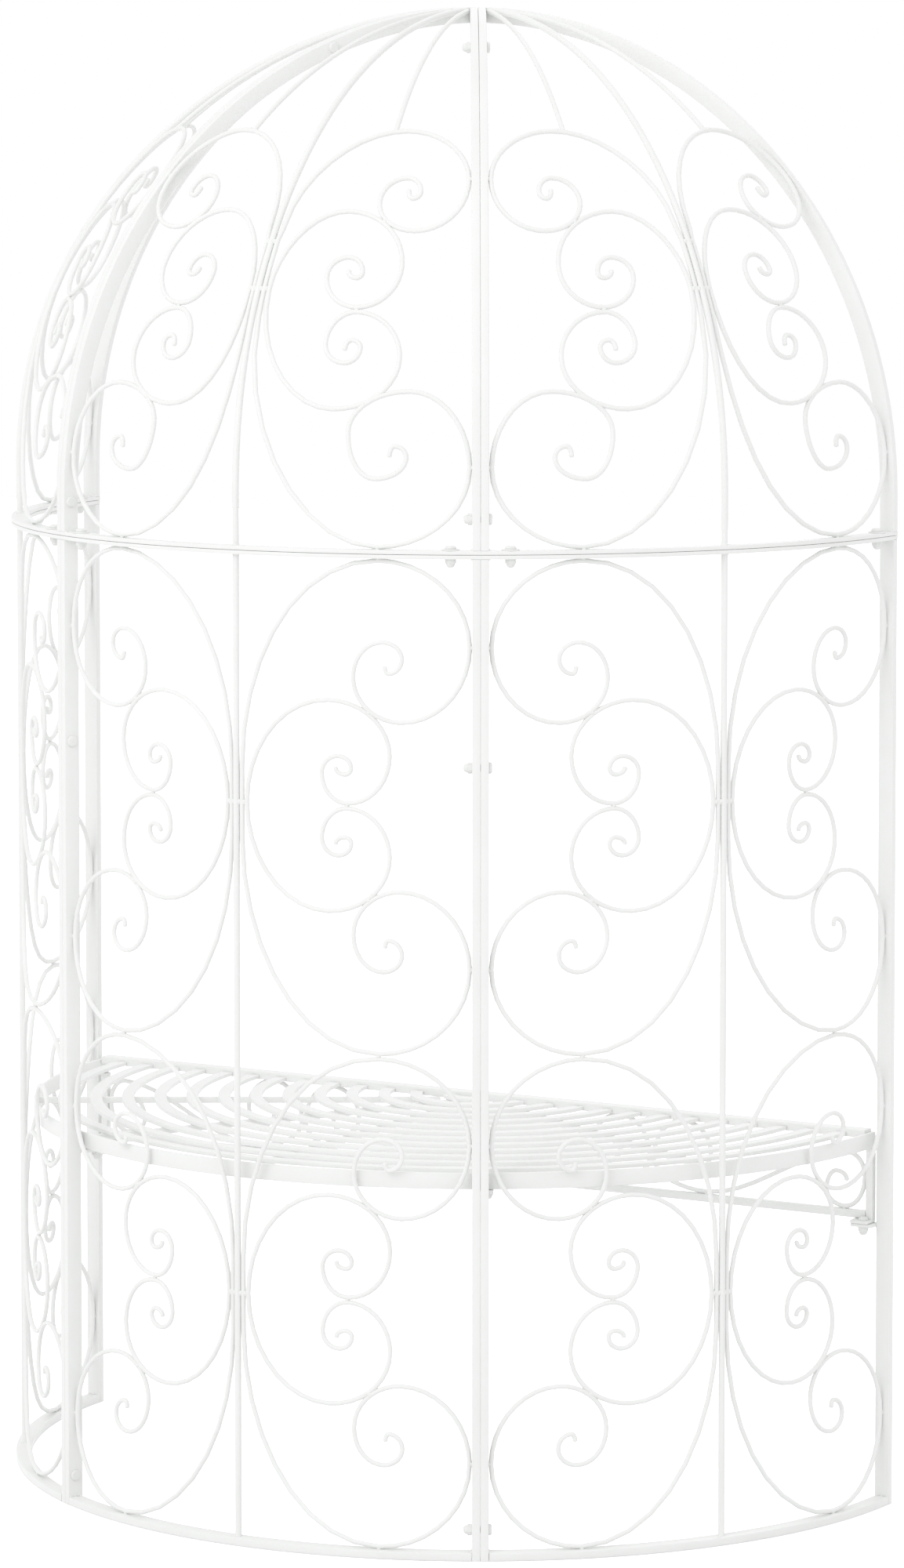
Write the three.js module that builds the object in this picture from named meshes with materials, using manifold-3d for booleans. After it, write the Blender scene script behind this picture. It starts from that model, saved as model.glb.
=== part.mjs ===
// A half-round wrought steel arbour with a seat: three scrollwork wall panels, three curved roof
// panels over them, and a slatted half-round seat with a scrolled apron, all joined by bolts.
// Millimetres, +Z up. The open front faces -Y and the back bulges towards +Y.

import * as THREE from "three";
import { mergeVertices } from "three/addons/utils/BufferGeometryUtils.js";
import Module from "manifold-3d";

const wasm = await Module();
wasm.setup();

// Driving dimensions
const RADIUS = 600; // outside of the half-round plan
const WALL_HEIGHT = 1220; // ground to the top of the wall panels
const ROOF_STRAIGHT = 45; // the roof ribs rise straight this far before they curve in
const ROOF_RISE = 605; // from there to the top of the dome
const SEAT_HEIGHT = 470; // ground to the top of the slats
const PANEL_COUNT = 3; // wall panels, and as many roof panels, round the half circle
const REPEAT_COUNT = 2; // scroll patterns one above the other in a wall panel

// Bars and rods
const BAR_DEPTH = 20; // across the wall, for stiles, ribs and rails
const BAR_THICKNESS = 10; // along the wall, and the height of the bottom rail
const RAIL_THICKNESS = 5; // the thin flat rails where walls and roof meet
const CENTRE_BAR_RADIUS = 4;
const ROD_RADIUS = 3; // the scrolls and the struts
const WALL_FLATNESS = 0.6; // 0 bends the scrolls as the rails are bent, 1 leaves half a panel flat
const ROOF_FLATNESS = 0.8;

// Gaps
const WALL_JOINT_GAP = 0.15; // from the joint plane to a wall panel
const ROOF_JOINT_GAP = 0.15; // from the joint plane to a roof panel
const RAIL_JOINT_GAP = 0.4; // between the wall's top rail and the roof's rail
const WELD_GAP = 0.3; // between pieces that are welded or bolted face to face
const BITE = 0.2; // how far fused parts of one piece run into each other
const OVERRUN = 10; // how far a cutting tool runs past what it cuts

// Welds
const WELD_LEG = 2; // how far a weld bead reaches round each rod
const BUNDLE_SHARE = 0.05; // of a rod's steps, either side of its bundle's middle, with one weld
const APRON_WELD_SHARES = [0.5, 0.9]; // the part of an apron scroll in which it meets the next

// Roof details
const TIP_CUT = 12; // the roof panels' tips end this far from the axis
const RIB_MITRE_GAP = 0.3; // between the two ribs of one roof panel where they meet
const ROOF_BUNDLE_SHARES = [0.32, 0.385]; // the rows of welds up the roof's centre rod
const ROOF_WAIST_SHARE = 0.294; // where the two medium scrolls of the roof touch
const ROOF_FLUSH_SHARE = 0.3; // from here up the rods lie flush with the outside of the ribs
const STRUT_ANGLE_SHARE = 0.5; // between the centre rod and a rib

// Seat
const SEAT_CLEARANCE = 0.5; // round the seat, inside the walls
const RIM_THICKNESS = 5;
const RIM_HEIGHT = 20;
const SLAT_COUNT = 13;
const SLAT_WIDTH = 16;
const SLAT_THICKNESS = 5;
const INNER_SLAT_RADIUS = 30; // inside of the smallest slat
const SUPPORT_WIDTH = 6;
const SUPPORT_HEIGHT = 8;
const SUPPORT_COUNT = 5; // spread evenly round the half circle
const FRONT_INSET = 1; // from the front plane to the seat's front bar
const FRONT_BAR_RISE = 4; // the front bar stands this far above the slats

// Apron under the front of the seat
const APRON_HEIGHT = 94; // clear height between its lower bar and the seat's front bar
const APRON_END_INSET = 4.5; // from the stiles to the apron's end posts

// Tabs, lugs and bolts
const TAB_THICKNESS = 4;
const FRONT_TAB_WIDTH = 24;
const REAR_TAB_WIDTH = 16;
const TAB_LENGTH = 30;
const LUG_MARGIN = 2; // of a lug beyond its bolt's head
const BOLT_RADIUS = 4;
const HOLE_CLEARANCE = 0.5; // round a bolt's shank
const HEAD_RADIUS = 7;
const HEAD_HEIGHT = 4;
const HEAD_TOP_SHARE = 0.8; // the flat top of a head, as a share of its width
const WASHER_RADIUS = 11; // under the heads of the rail bolts
const WASHER_THICKNESS = 1.5;
const NUT_RADIUS = 7;
const NUT_HEIGHT = 5.5;
const CAP_HEIGHT = 5;
const CAP_RADIUS = 3;
const SEAT_HEAD_RADIUS = 6;
const SEAT_HEAD_HEIGHT = 4;
const REAR_BOLT_REACH = 23; // from a stile's inner face to the bolt that holds the seat
const FRONT_BOLT_REACH = 14; // the same for the front bolts
const JOINT_BOLT_FOOT = 37; // the lowest joint bolt above the ground
const JOINT_BOLT_MIDDLE_SHARE = 0.79; // the upper wall bolt, as a share of the wall's height
const ROOF_BOLT_FOOT = 37; // the lower roof bolt above the roof's rail
const ROOF_BOLT_TOP_SHARE = 0.771; // the upper roof bolt, as a share of the way up the roof
const RAIL_BOLT_INSET = 36; // from the joint plane, along the rail

// Faceting
const ROOF_ROD_STEPS = 16;
const STRUT_STEPS = 7;
const RIB_FACETS = 6; // half the flats of a rib's curve
const SMALL_STEP = 1e-3; // for slopes found by difference
const NEAREST_SAMPLES = 60; // points compared along each of two rods
const CHORD_ERROR = 5; // how far the flats of a slat may lie inside its curve
const RAIL_CHORD_ERROR = 1.3; // the same for a rail
const BAR_SIDES = 8;
const BOLT_SIDES = 6;

// Where each scroll runs straight up and straight across by turns, from its bundle to its tip.
// Across: shares of the clear half bay. Up: shares of half a pattern's height. A share of 1
// touches the stile or the rail, and 0 touches the mirrored scroll.
const WALL_LARGE_SHARES = [
  [0.025, 0.15],
  [0.62, 1],
  [1, 0.645],
  [0.707, 0.34],
  [0.508, 0.516],
  [0.633, 0.662],
  [0.713, 0.595],
  [0.657, 0.536],
  [0.642, 0.562],
];
const WALL_MEDIUM_SHARES = [
  [0.4, 0.425],
  [0.66, 0.205],
  [0.478, 0],
  [0.37, 0.13],
  [0.44, 0.2],
  [0.496, 0.152],
  [0.47, 0.126],
  [0.43, 0.152],
];

// The same for the roof. Up: shares of the way from the rail to the top. The upper and lower
// scrolls are not mirror images here, because the panel narrows.
const ROOF_LARGE_UPPER_SHARES = [
  [0.04, 0.41],
  [0.605, 0.562],
  [1, 0.48],
  [0.715, 0.402],
  [0.515, 0.446],
  [0.65, 0.482],
  [0.73, 0.46],
  [0.69, 0.45],
  [0.665, 0.462],
];
const ROOF_LARGE_LOWER_SHARES = [
  [0.03, 0.283],
  [0.617, 0],
  [1, 0.1],
  [0.74, 0.192],
  [0.48, 0.142],
  [0.6, 0.085],
  [0.73, 0.111],
  [0.68, 0.125],
  [0.66, 0.113],
];
const ROOF_MEDIUM_UPPER_SHARES = [
  [0.357, 0.43],
  [0.67, 0.353],
  [0.475, ROOF_WAIST_SHARE],
  [0.312, 0.34],
  [0.405, 0.364],
  [0.482, 0.343],
  [0.455, 0.336],
  [0.415, 0.345],
];
const ROOF_MEDIUM_LOWER_SHARES = [
  [0.407, 0.169],
  [0.688, 0.233],
  [0.475, ROOF_WAIST_SHARE],
  [0.35, 0.251],
  [0.443, 0.226],
  [0.51, 0.245],
  [0.468, 0.255],
  [0.44, 0.243],
];

// How many straight steps each of those turns takes
const LARGE_TURN_STEPS = [3, 3, 3, 2, 2, 1, 1, 1];
const MEDIUM_TURN_STEPS = [3, 3, 2, 2, 1, 1, 1, 1];
const RUN_STEPS = 1;

// The two S scrolls in each half of the apron, from the tip of one curl to the tip of the other.
// Across: shares of half the apron. Up: shares of its clear height.
const APRON_OUTER_CURL_SHARES = [
  [0.95, 0.39],
  [0.925, 0.5],
  [0.9, 0.24],
  [0.945, 0],
  [1, 0.45],
  [0.955, 0.76],
];
const APRON_OUTER_FAR_CURL_SHARES = [
  [0.6, 0],
  [0.465, 0.43],
  [0.54, 1],
  [0.61, 0.57],
  [0.57, 0.32],
  [0.54, 0.54],
];
const APRON_INNER_CURL_SHARES = [
  [0.05, 0.39],
  [0.075, 0.5],
  [0.1, 0.24],
  [0.055, 0],
  [0, 0.45],
  [0.045, 0.76],
];
const APRON_INNER_FAR_CURL_SHARES = [
  [0.32, 0],
  [0.455, 0.43],
  [0.38, 1],
  [0.31, 0.57],
  [0.35, 0.32],
  [0.38, 0.54],
];
const APRON_TURN_STEPS = [1, 1, 2, 3, 2];
const APRON_FAR_TURN_STEPS = [3, 3, 2, 2, 1];
const APRON_RUN_STEPS = 4;

// Worked out from the above
const PANEL_ANGLE = Math.PI / PANEL_COUNT;
const HALF_ANGLE = PANEL_ANGLE / 2;
const QUARTER = Math.PI / 2;
const INNER_RADIUS = RADIUS - BAR_DEPTH;
const MID_RADIUS = RADIUS - BAR_DEPTH / 2;
const ARCH_SHARE = 1 - Math.cos(HALF_ANGLE / 2); // how deep half a panel curves, of its radius
const ROD_REACH = ROD_RADIUS; // from a scroll's middle line to what it touches
const SCROLLS_INSIDE = MID_RADIUS * (1 - ARCH_SHARE * WALL_FLATNESS) - ROD_REACH;
const LARGE_OFFSET = CENTRE_BAR_RADIUS + WELD_GAP + ROD_RADIUS; // beside the centre bar
const MEDIUM_OFFSET = LARGE_OFFSET + 2 * ROD_RADIUS + WELD_GAP;
const ROOF_BASE = WALL_HEIGHT + RAIL_JOINT_GAP;
const ROOF_FLOOR = ROOF_BASE + RAIL_THICKNESS; // top of the roof's rail
const ROOF_SPRING = ROOF_FLOOR + ROOF_STRAIGHT;
const ROOF_TOP = ROOF_SPRING + ROOF_RISE;
const ROOF_LENGTH = ROOF_STRAIGHT + ROOF_RISE * QUARTER; // along a rib
const STRAIGHT_SHARE = ROOF_STRAIGHT / ROOF_LENGTH;
const ROOF_SCROLL_TOP = ROOF_LARGE_UPPER_SHARES[1][1];
const SEAT_RADIUS = Math.min(INNER_RADIUS, SCROLLS_INSIDE) - SEAT_CLEARANCE;
const RIM_INNER = SEAT_RADIUS - RIM_THICKNESS;
const RIM_BOTTOM = SEAT_HEIGHT - RIM_HEIGHT;
const FRONT_BACK = FRONT_INSET + BAR_DEPTH; // back face of the seat's front bar
const SLAT_BOTTOM = SEAT_HEIGHT - SLAT_THICKNESS;
const SLAT_GAP = (RIM_INNER - INNER_SLAT_RADIUS - SLAT_COUNT * SLAT_WIDTH) / SLAT_COUNT;
const SUPPORT_BOTTOM = SLAT_BOTTOM - SUPPORT_HEIGHT;
const FRONT_BAR_TOP = SEAT_HEIGHT + FRONT_BAR_RISE;
const FRONT_BAR_BOTTOM = FRONT_BAR_TOP - BAR_THICKNESS;
const APRON_FLOOR = FRONT_BAR_BOTTOM - APRON_HEIGHT; // top of the apron's lower bar
const APRON_BOTTOM = APRON_FLOOR - BAR_THICKNESS;
const APRON_BACK = FRONT_INSET + BAR_THICKNESS;
const POST_OUTER = INNER_RADIUS - APRON_END_INSET;
const POST_INNER = POST_OUTER - BAR_THICKNESS;
const LUG_TOP = APRON_BOTTOM - WELD_GAP;
const FRONT_TAB_TOP = LUG_TOP - TAB_THICKNESS - WELD_GAP;
const REAR_TAB_TOP = RIM_BOTTOM - WELD_GAP;
const SEAT_BOLT_RADIUS = INNER_RADIUS - REAR_BOLT_REACH;
const REAR_BOLT_OFFSET = SUPPORT_WIDTH / 2 + WELD_GAP + SEAT_HEAD_RADIUS;
const FRONT_BOLT_X = INNER_RADIUS - FRONT_BOLT_REACH;
const FRONT_BOLT_OFFSET = APRON_BACK + SEAT_HEAD_RADIUS + WELD_GAP;
const HOLE_RADIUS = BOLT_RADIUS + HOLE_CLEARANCE;
const RAIL_BOLT_ANGLE = HALF_ANGLE - RAIL_BOLT_INSET / MID_RADIUS; // from a panel's middle

const paintedSteel = new THREE.MeshStandardMaterial({ color: 0xf1f2ee, roughness: 0.5 });
const platedSteel = new THREE.MeshStandardMaterial({ color: 0xd4d6d2, roughness: 0.4, metalness: 0.6 });

const lerp = THREE.MathUtils.lerp;
const clamp = THREE.MathUtils.clamp;

// Joining and cutting

function solidOf(geometry) {
  const bare = geometry.clone();
  bare.deleteAttribute("normal");
  bare.deleteAttribute("uv");
  const merged = mergeVertices(bare);
  const mesh = new wasm.Mesh({
    numProp: 3,
    vertProperties: merged.attributes.position.array,
    triVerts: new Uint32Array(merged.index.array),
  });
  return new wasm.Manifold(mesh);
}

function geometryOf(solid) {
  const { vertProperties, triVerts } = solid.getMesh();
  const geometry = new THREE.BufferGeometry();
  geometry.setAttribute("position", new THREE.BufferAttribute(vertProperties, 3));
  geometry.setIndex(new THREE.BufferAttribute(triVerts, 1));
  geometry.computeVertexNormals();
  return geometry;
}

function join(geometries) {
  return geometryOf(geometries.map(solidOf).reduce((a, b) => a.add(b)));
}

function cut(geometry, tools) {
  return geometryOf(tools.map(solidOf).reduce((a, b) => a.subtract(b), solidOf(geometry)));
}

// Simple shapes

function block([x0, x1], [y0, y1], [z0, z1]) {
  const geometry = new THREE.BoxGeometry(Math.abs(x1 - x0), Math.abs(y1 - y0), z1 - z0);
  return geometry.translate((x0 + x1) / 2, (y0 + y1) / 2, (z0 + z1) / 2);
}

function upright(radius, [z0, z1], x, y, sides = BOLT_SIDES) {
  const geometry = new THREE.CylinderGeometry(radius, radius, z1 - z0, sides);
  return geometry.rotateX(QUARTER).translate(x, y, (z0 + z1) / 2);
}

// A flat bar bent round the axis, between two angles
function bentBar([inner, outer], [start, end], [z0, z1], chordError) {
  const facetAngle = 2 * Math.acos(1 - Math.min(1, chordError / outer));
  const facets = Math.max(2, Math.ceil((end - start) / facetAngle / 2));
  const shape = new THREE.Shape();
  shape.absarc(0, 0, outer, start, end, false);
  shape.absarc(0, 0, inner, end, start, true);
  const options = { depth: z1 - z0, bevelEnabled: false, curveSegments: facets };
  return new THREE.ExtrudeGeometry(shape, options).translate(0, 0, z0);
}

// Rods

// A quarter of an ellipse between a point where the rod runs upright and one where it runs level
function turn(from, to, startsUpright) {
  return (t) => {
    const late = 1 - Math.cos(t * QUARTER);
    const early = Math.sin(t * QUARTER);
    const across = startsUpright ? late : early;
    const up = startsUpright ? early : late;
    return [lerp(from[0], to[0], across), lerp(from[1], to[1], up)];
  };
}

// A slack S between two points where the rod runs the same way
function run(from, to, upright) {
  return (t) => {
    const eased = THREE.MathUtils.smoothstep(t, 0, 1);
    return [lerp(from[0], to[0], upright ? eased : t), lerp(from[1], to[1], upright ? t : eased)];
  };
}

function backwards(stretches) {
  return stretches.map(({ route, steps }) => ({ route: (t) => route(1 - t), steps })).reverse();
}

function mirroredUp(stretches) {
  const flipped = ({ route, steps }) => ({ route: (t) => [route(t)[0], -route(t)[1]], steps });
  return stretches.map(flipped);
}

// Turns through the points in order, upright and level by turns
function turns(points, stepCounts, startsUpright) {
  const stretch = (to, i) => ({
    route: turn(points[i], to, (i % 2 === 0) === startsUpright),
    steps: stepCounts[i],
  });
  return points.slice(1).map(stretch);
}

// The middle line of a rod: its stretches in a flat pattern, laid on the wall or the roof
class RodLine extends THREE.Curve {
  constructor(stretches, place) {
    super();
    this.stretches = stretches;
    this.place = place;
    this.steps = stretches.reduce((sum, { steps }) => sum + steps, 0);
  }

  flatPoint(t) {
    let at = t * this.steps;
    let i = 0;
    while (i < this.stretches.length - 1 && at > this.stretches[i].steps) {
      at -= this.stretches[i].steps;
      i += 1;
    }
    const { route, steps } = this.stretches[i];
    return route(at / steps);
  }

  getPoint(t, target = new THREE.Vector3()) {
    return target.copy(this.place(...this.flatPoint(t)));
  }

  // Square to the wall or the roof, found from two short steps along it
  facing(t) {
    const [across, up] = this.flatPoint(t);
    const sideways = this.place(across + SMALL_STEP, up).sub(this.place(across - SMALL_STEP, up));
    const upwards = this.place(across, up + SMALL_STEP).sub(this.place(across, up - SMALL_STEP));
    return sideways.cross(upwards).normalize();
  }

  // The section keeps one side flat on the wall or the roof all along the rod
  computeFrenetFrames(segments) {
    const frames = { tangents: [], normals: [], binormals: [] };
    for (let i = 0; i <= segments; i += 1) {
      const tangent = this.getTangent(i / segments);
      const normal = this.facing(i / segments);
      normal.addScaledVector(tangent, -normal.dot(tangent)).normalize();
      frames.tangents.push(tangent);
      frames.normals.push(normal);
      frames.binormals.push(new THREE.Vector3().crossVectors(tangent, normal));
    }
    return frames;
  }

  // Every step of a turn is a step of the extrusion, however long it is
  getUtoTmapping(u) {
    return u;
  }
}

// A square section as large as the round rod
function rodSection(radius) {
  const half = (radius * Math.sqrt(Math.PI)) / 2;
  const corners = [[-half, -half], [half, -half], [half, half], [-half, half]];
  return new THREE.Shape(corners.map(([x, y]) => new THREE.Vector2(x, y)));
}

function rod(line, radius) {
  const options = { steps: line.steps, extrudePath: line };
  return new THREE.ExtrudeGeometry(rodSection(radius), options);
}

function bead(a, b) {
  const radius = a.distanceTo(b) / 2 + WELD_LEG;
  const middle = a.clone().add(b).divideScalar(2);
  return new THREE.OctahedronGeometry(radius).translate(middle.x, middle.y, middle.z);
}

// A weld bead where two rods come nearest, each within a range of its line
function weld(lineA, [a0, a1], lineB, [b0, b1]) {
  const along = (line, from, to) =>
    Array.from({ length: NEAREST_SAMPLES + 1 }, (_, i) =>
      line.getPoint(lerp(from, to, i / NEAREST_SAMPLES)),
    );
  const pointsB = along(lineB, b0, b1);
  let best = { distance: Infinity };
  for (const a of along(lineA, a0, a1)) {
    for (const b of pointsB) {
      const distance = a.distanceTo(b);
      if (distance < best.distance) best = { distance, a, b };
    }
  }
  return bead(best.a, best.b);
}

// A large and a medium scroll are welded where they meet above and below their bundle
function scrollWelds(large, medium) {
  const near = 0.5 - BUNDLE_SHARE;
  const far = 0.5 + BUNDLE_SHARE;
  return [
    weld(large, [0, near], medium, [0, near]),
    weld(large, [far, 1], medium, [far, 1]),
  ];
}

// How far inside the rails' curve a scroll of half a panel lies, as a share of the radius. It is
// nothing beside the centre bar, at the stile, and where up is -1 or 1.
function slack(flatness, angle, up) {
  const across = angle / HALF_ANGLE;
  return flatness * ARCH_SHARE * 4 * across * (1 - across) * (1 - up * up);
}

// Wall panels. Each is built round the X axis, which runs out through its centre bar.

const WALL_FLOOR = BAR_THICKNESS; // top of the bottom rail
const WALL_CEILING = WALL_HEIGHT - RAIL_THICKNESS;
const HALF_REPEAT = (WALL_CEILING - WALL_FLOOR) / REPEAT_COUNT / 2;
const CLEAR_ANGLE = HALF_ANGLE - Math.asin((WALL_JOINT_GAP + BAR_THICKNESS) / MID_RADIUS);
const CLEAR_BAY = MID_RADIUS * CLEAR_ANGLE; // from the centre line to a stile's face

const repeatMiddles = Array.from(
  { length: REPEAT_COUNT },
  (_, i) => WALL_FLOOR + (2 * i + 1) * HALF_REPEAT,
);

// The two sides of a joint plane: a piece on side +1 lies before it, one on side -1 after it
function besideJoint(side, gap, width) {
  return side > 0 ? [-gap - width, -gap] : [gap, gap + width];
}

function stile(side, tab) {
  const top = WALL_CEILING - WELD_GAP;
  const across = besideJoint(side, WALL_JOINT_GAP, BAR_THICKNESS);
  const parts = [block([INNER_RADIUS, RADIUS], across, [0, top])];
  const tools = [];
  if (tab) {
    const tabAcross = besideJoint(side, WALL_JOINT_GAP, tab.width);
    const tabX = [INNER_RADIUS - TAB_LENGTH, INNER_RADIUS + BITE];
    parts.push(block(tabX, tabAcross, [tab.top - TAB_THICKNESS, tab.top]));
    const holeZ = [tab.top - TAB_THICKNESS - OVERRUN, tab.top + OVERRUN];
    tools.push(upright(HOLE_RADIUS, holeZ, tab.boltX, -side * tab.boltOffset));
  }
  return { solid: join(parts), tools };
}

function jointHole(z, radius) {
  const length = BAR_THICKNESS * 2 + OVERRUN * 2;
  return new THREE.CylinderGeometry(HOLE_RADIUS, HOLE_RADIUS, length, BOLT_SIDES).translate(radius, 0, z);
}

const WALL_BOLT_HEIGHTS = [JOINT_BOLT_FOOT, WALL_HEIGHT * JOINT_BOLT_MIDDLE_SHARE];

function wallStile(side, isFront, tab) {
  const { solid, tools } = stile(side, tab);
  if (!isFront) tools.push(...WALL_BOLT_HEIGHTS.map((z) => jointHole(z, MID_RADIUS)));
  const made = tools.length ? cut(solid, tools) : solid;
  return made.rotateZ(side * HALF_ANGLE);
}

function wallPlace(side, middle) {
  return (across, up) => {
    const angle = across / MID_RADIUS;
    const r = MID_RADIUS * (1 - slack(WALL_FLATNESS, angle, up / HALF_REPEAT));
    return new THREE.Vector3(r * Math.cos(angle), side * r * Math.sin(angle), middle + up);
  };
}

function wallPoint([across, up]) {
  return [
    clamp(across * CLEAR_BAY, LARGE_OFFSET, CLEAR_BAY - ROD_REACH),
    clamp(up * HALF_REPEAT, ROD_RADIUS, HALF_REPEAT - ROD_REACH),
  ];
}

// A C scroll that is its own mirror image about its bundle's middle
function mirroredScroll(upperHalf) {
  return [...backwards(mirroredUp(upperHalf)), ...upperHalf];
}

function wallScrolls(side) {
  const parts = [];
  const edges = [];
  for (const middle of repeatMiddles) {
    const place = wallPlace(side, middle);
    const largePoints = WALL_LARGE_SHARES.map(wallPoint);
    const largeHalf = [
      { route: run([LARGE_OFFSET, 0], largePoints[0], true), steps: RUN_STEPS },
      ...turns(largePoints, LARGE_TURN_STEPS, true),
    ];
    const mediumPoints = [[MEDIUM_OFFSET, 0], ...WALL_MEDIUM_SHARES.map(wallPoint)];
    const mediumHalf = turns(mediumPoints, MEDIUM_TURN_STEPS, true);
    const large = new RodLine(mirroredScroll(largeHalf), place);
    const medium = new RodLine(mirroredScroll(mediumHalf), place);
    const waist = mediumPoints[3];
    parts.push(rod(large, ROD_RADIUS), rod(medium, ROD_RADIUS));
    parts.push(...scrollWelds(large, medium));
    parts.push(bead(place(LARGE_OFFSET, 0), place(MEDIUM_OFFSET, 0)));
    parts.push(bead(place(waist[0], waist[1]), place(waist[0], -waist[1])));
    const top = largePoints[1];
    edges.push([place(top[0], -top[1]), place(top[0], top[1])]);
  }
  for (let i = 1; i < edges.length; i += 1) parts.push(bead(edges[i - 1][1], edges[i][0]));
  return join(parts);
}

// The centre bar, with the weld beads on it that reach round the large scrolls beside it
function wallCentreBar() {
  const ends = [WALL_FLOOR + WELD_GAP, WALL_CEILING - WELD_GAP];
  const parts = [upright(CENTRE_BAR_RADIUS, ends, MID_RADIUS, 0, BAR_SIDES)];
  const slots = [];
  for (const middle of repeatMiddles) {
    const slotHeight = [middle - OVERRUN, middle + OVERRUN];
    for (const side of [-1, 1]) {
      const place = wallPlace(side, middle);
      const beside = place(LARGE_OFFSET, 0);
      parts.push(bead(place(0, 0), beside));
      const slotReach = ROD_RADIUS + WELD_GAP;
      const slotDepth = [beside.x - slotReach, beside.x + slotReach];
      const slotAcross = [side * CENTRE_BAR_RADIUS, side * (LARGE_OFFSET + OVERRUN)];
      slots.push(block(slotDepth, slotAcross, slotHeight));
    }
  }
  return cut(join(parts), slots);
}

function railHoles([z0, z1]) {
  return [-1, 1].map((side) => {
    const hole = upright(HOLE_RADIUS, [z0 - OVERRUN, z1 + OVERRUN], MID_RADIUS, 0);
    return hole.rotateZ(side * RAIL_BOLT_ANGLE);
  });
}

function flatRail(jointGap, height) {
  const half = HALF_ANGLE - Math.asin(jointGap / INNER_RADIUS);
  const rail = bentBar([INNER_RADIUS, RADIUS], [-half, half], height, RAIL_CHORD_ERROR);
  return cut(rail, railHoles(height));
}

function bottomRail() {
  const reach = WALL_JOINT_GAP + BAR_THICKNESS + WELD_GAP;
  const half = HALF_ANGLE - Math.asin(reach / INNER_RADIUS);
  return bentBar([INNER_RADIUS, RADIUS], [-half, half], [0, BAR_THICKNESS], RAIL_CHORD_ERROR);
}

// Roof panels, built round the X axis as the walls are

// A point of the roof's side view, so far in from its outside and so far up
function roofProfile(share, inset) {
  if (share <= STRAIGHT_SHARE) {
    return [RADIUS - inset, ROOF_FLOOR + share * ROOF_LENGTH];
  }
  const angle = ((share - STRAIGHT_SHARE) / (1 - STRAIGHT_SHARE)) * QUARTER;
  const r = (RADIUS - inset) * Math.cos(angle);
  return [r, ROOF_SPRING + (ROOF_RISE - inset) * Math.sin(angle)];
}

function roofRodInset(share) {
  const flush = THREE.MathUtils.smoothstep(share, 0, ROOF_FLUSH_SHARE);
  return lerp(BAR_DEPTH / 2, CENTRE_BAR_RADIUS, flush);
}

// The clear width from the centre line to a rib's face, at one height
function roofBay(r) {
  return r * HALF_ANGLE - (ROOF_JOINT_GAP + BAR_THICKNESS);
}

function roofPlace(side) {
  return (across, share) => {
    const [outside, z] = roofProfile(share, roofRodInset(share));
    const angle = (across * roofBay(outside)) / outside;
    const r = outside * (1 - slack(ROOF_FLATNESS, angle, (2 * share) / ROOF_SCROLL_TOP - 1));
    return new THREE.Vector3(r * Math.cos(angle), side * r * Math.sin(angle), z);
  };
}

// A distance in millimetres as a share of the clear width at that height
function roofAcross(distance, share) {
  return distance / roofBay(roofProfile(share, roofRodInset(share))[0]);
}

function roofPoint([across, share]) {
  const low = ROD_REACH / ROOF_LENGTH;
  return [Math.min(across, 1 - roofAcross(ROD_REACH, share)), Math.max(share, low)];
}

function roofScrolls(side) {
  const place = roofPlace(side);
  const [lowRow, highRow] = ROOF_BUNDLE_SHARES;
  const bundled = (offset, share) => [roofAcross(offset, share), share];
  const half = ROD_RADIUS / ROOF_LENGTH;
  const aboveWaist = ([across, share]) => [across, share === ROOF_WAIST_SHARE ? share + half : share];
  const belowWaist = ([across, share]) => [across, share === ROOF_WAIST_SHARE ? share - half : share];
  const largeUp = ROOF_LARGE_UPPER_SHARES.map(roofPoint);
  const largeDown = ROOF_LARGE_LOWER_SHARES.map(roofPoint);
  const mediumFoot = bundled(MEDIUM_OFFSET, lowRow);
  const mediumUp = [mediumFoot, ...ROOF_MEDIUM_UPPER_SHARES.map(aboveWaist).map(roofPoint)];
  const mediumDown = [mediumFoot, ...ROOF_MEDIUM_LOWER_SHARES.map(belowWaist).map(roofPoint)];
  const lowBundle = bundled(LARGE_OFFSET, lowRow);
  const highBundle = bundled(LARGE_OFFSET, highRow);
  const large = new RodLine(
    [
      ...backwards(turns(largeDown, LARGE_TURN_STEPS, true)),
      { route: run(largeDown[0], lowBundle, true), steps: RUN_STEPS },
      { route: run(lowBundle, highBundle, true), steps: RUN_STEPS },
      { route: run(highBundle, largeUp[0], true), steps: RUN_STEPS },
      ...turns(largeUp, LARGE_TURN_STEPS, true),
    ],
    place,
  );
  const medium = new RodLine(
    [
      ...backwards(turns(mediumDown, MEDIUM_TURN_STEPS, true)),
      ...turns(mediumUp, MEDIUM_TURN_STEPS, true),
    ],
    place,
  );
  return [
    rod(large, ROD_RADIUS),
    rod(medium, ROD_RADIUS),
    ...scrollWelds(large, medium),
    bead(place(...mediumUp[3]), place(...mediumDown[3])),
    bead(place(0, lowRow), place(...lowBundle)),
    bead(place(...lowBundle), place(...mediumFoot)),
    bead(place(0, highRow), place(...highBundle)),
    strut(side, place(...largeUp[1])),
  ];
}

// The angle up the roof at which a rod beside the centre line meets the ribs of its panel
function roofShareWhere(reach, angleShare) {
  const ribFace = (ROOF_JOINT_GAP + BAR_THICKNESS + reach) / Math.sin(HALF_ANGLE * (1 - angleShare));
  const up = Math.acos(clamp(ribFace / (RADIUS - CENTRE_BAR_RADIUS), 0, 1));
  return STRAIGHT_SHARE + (up / QUARTER) * (1 - STRAIGHT_SHARE);
}

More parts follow.
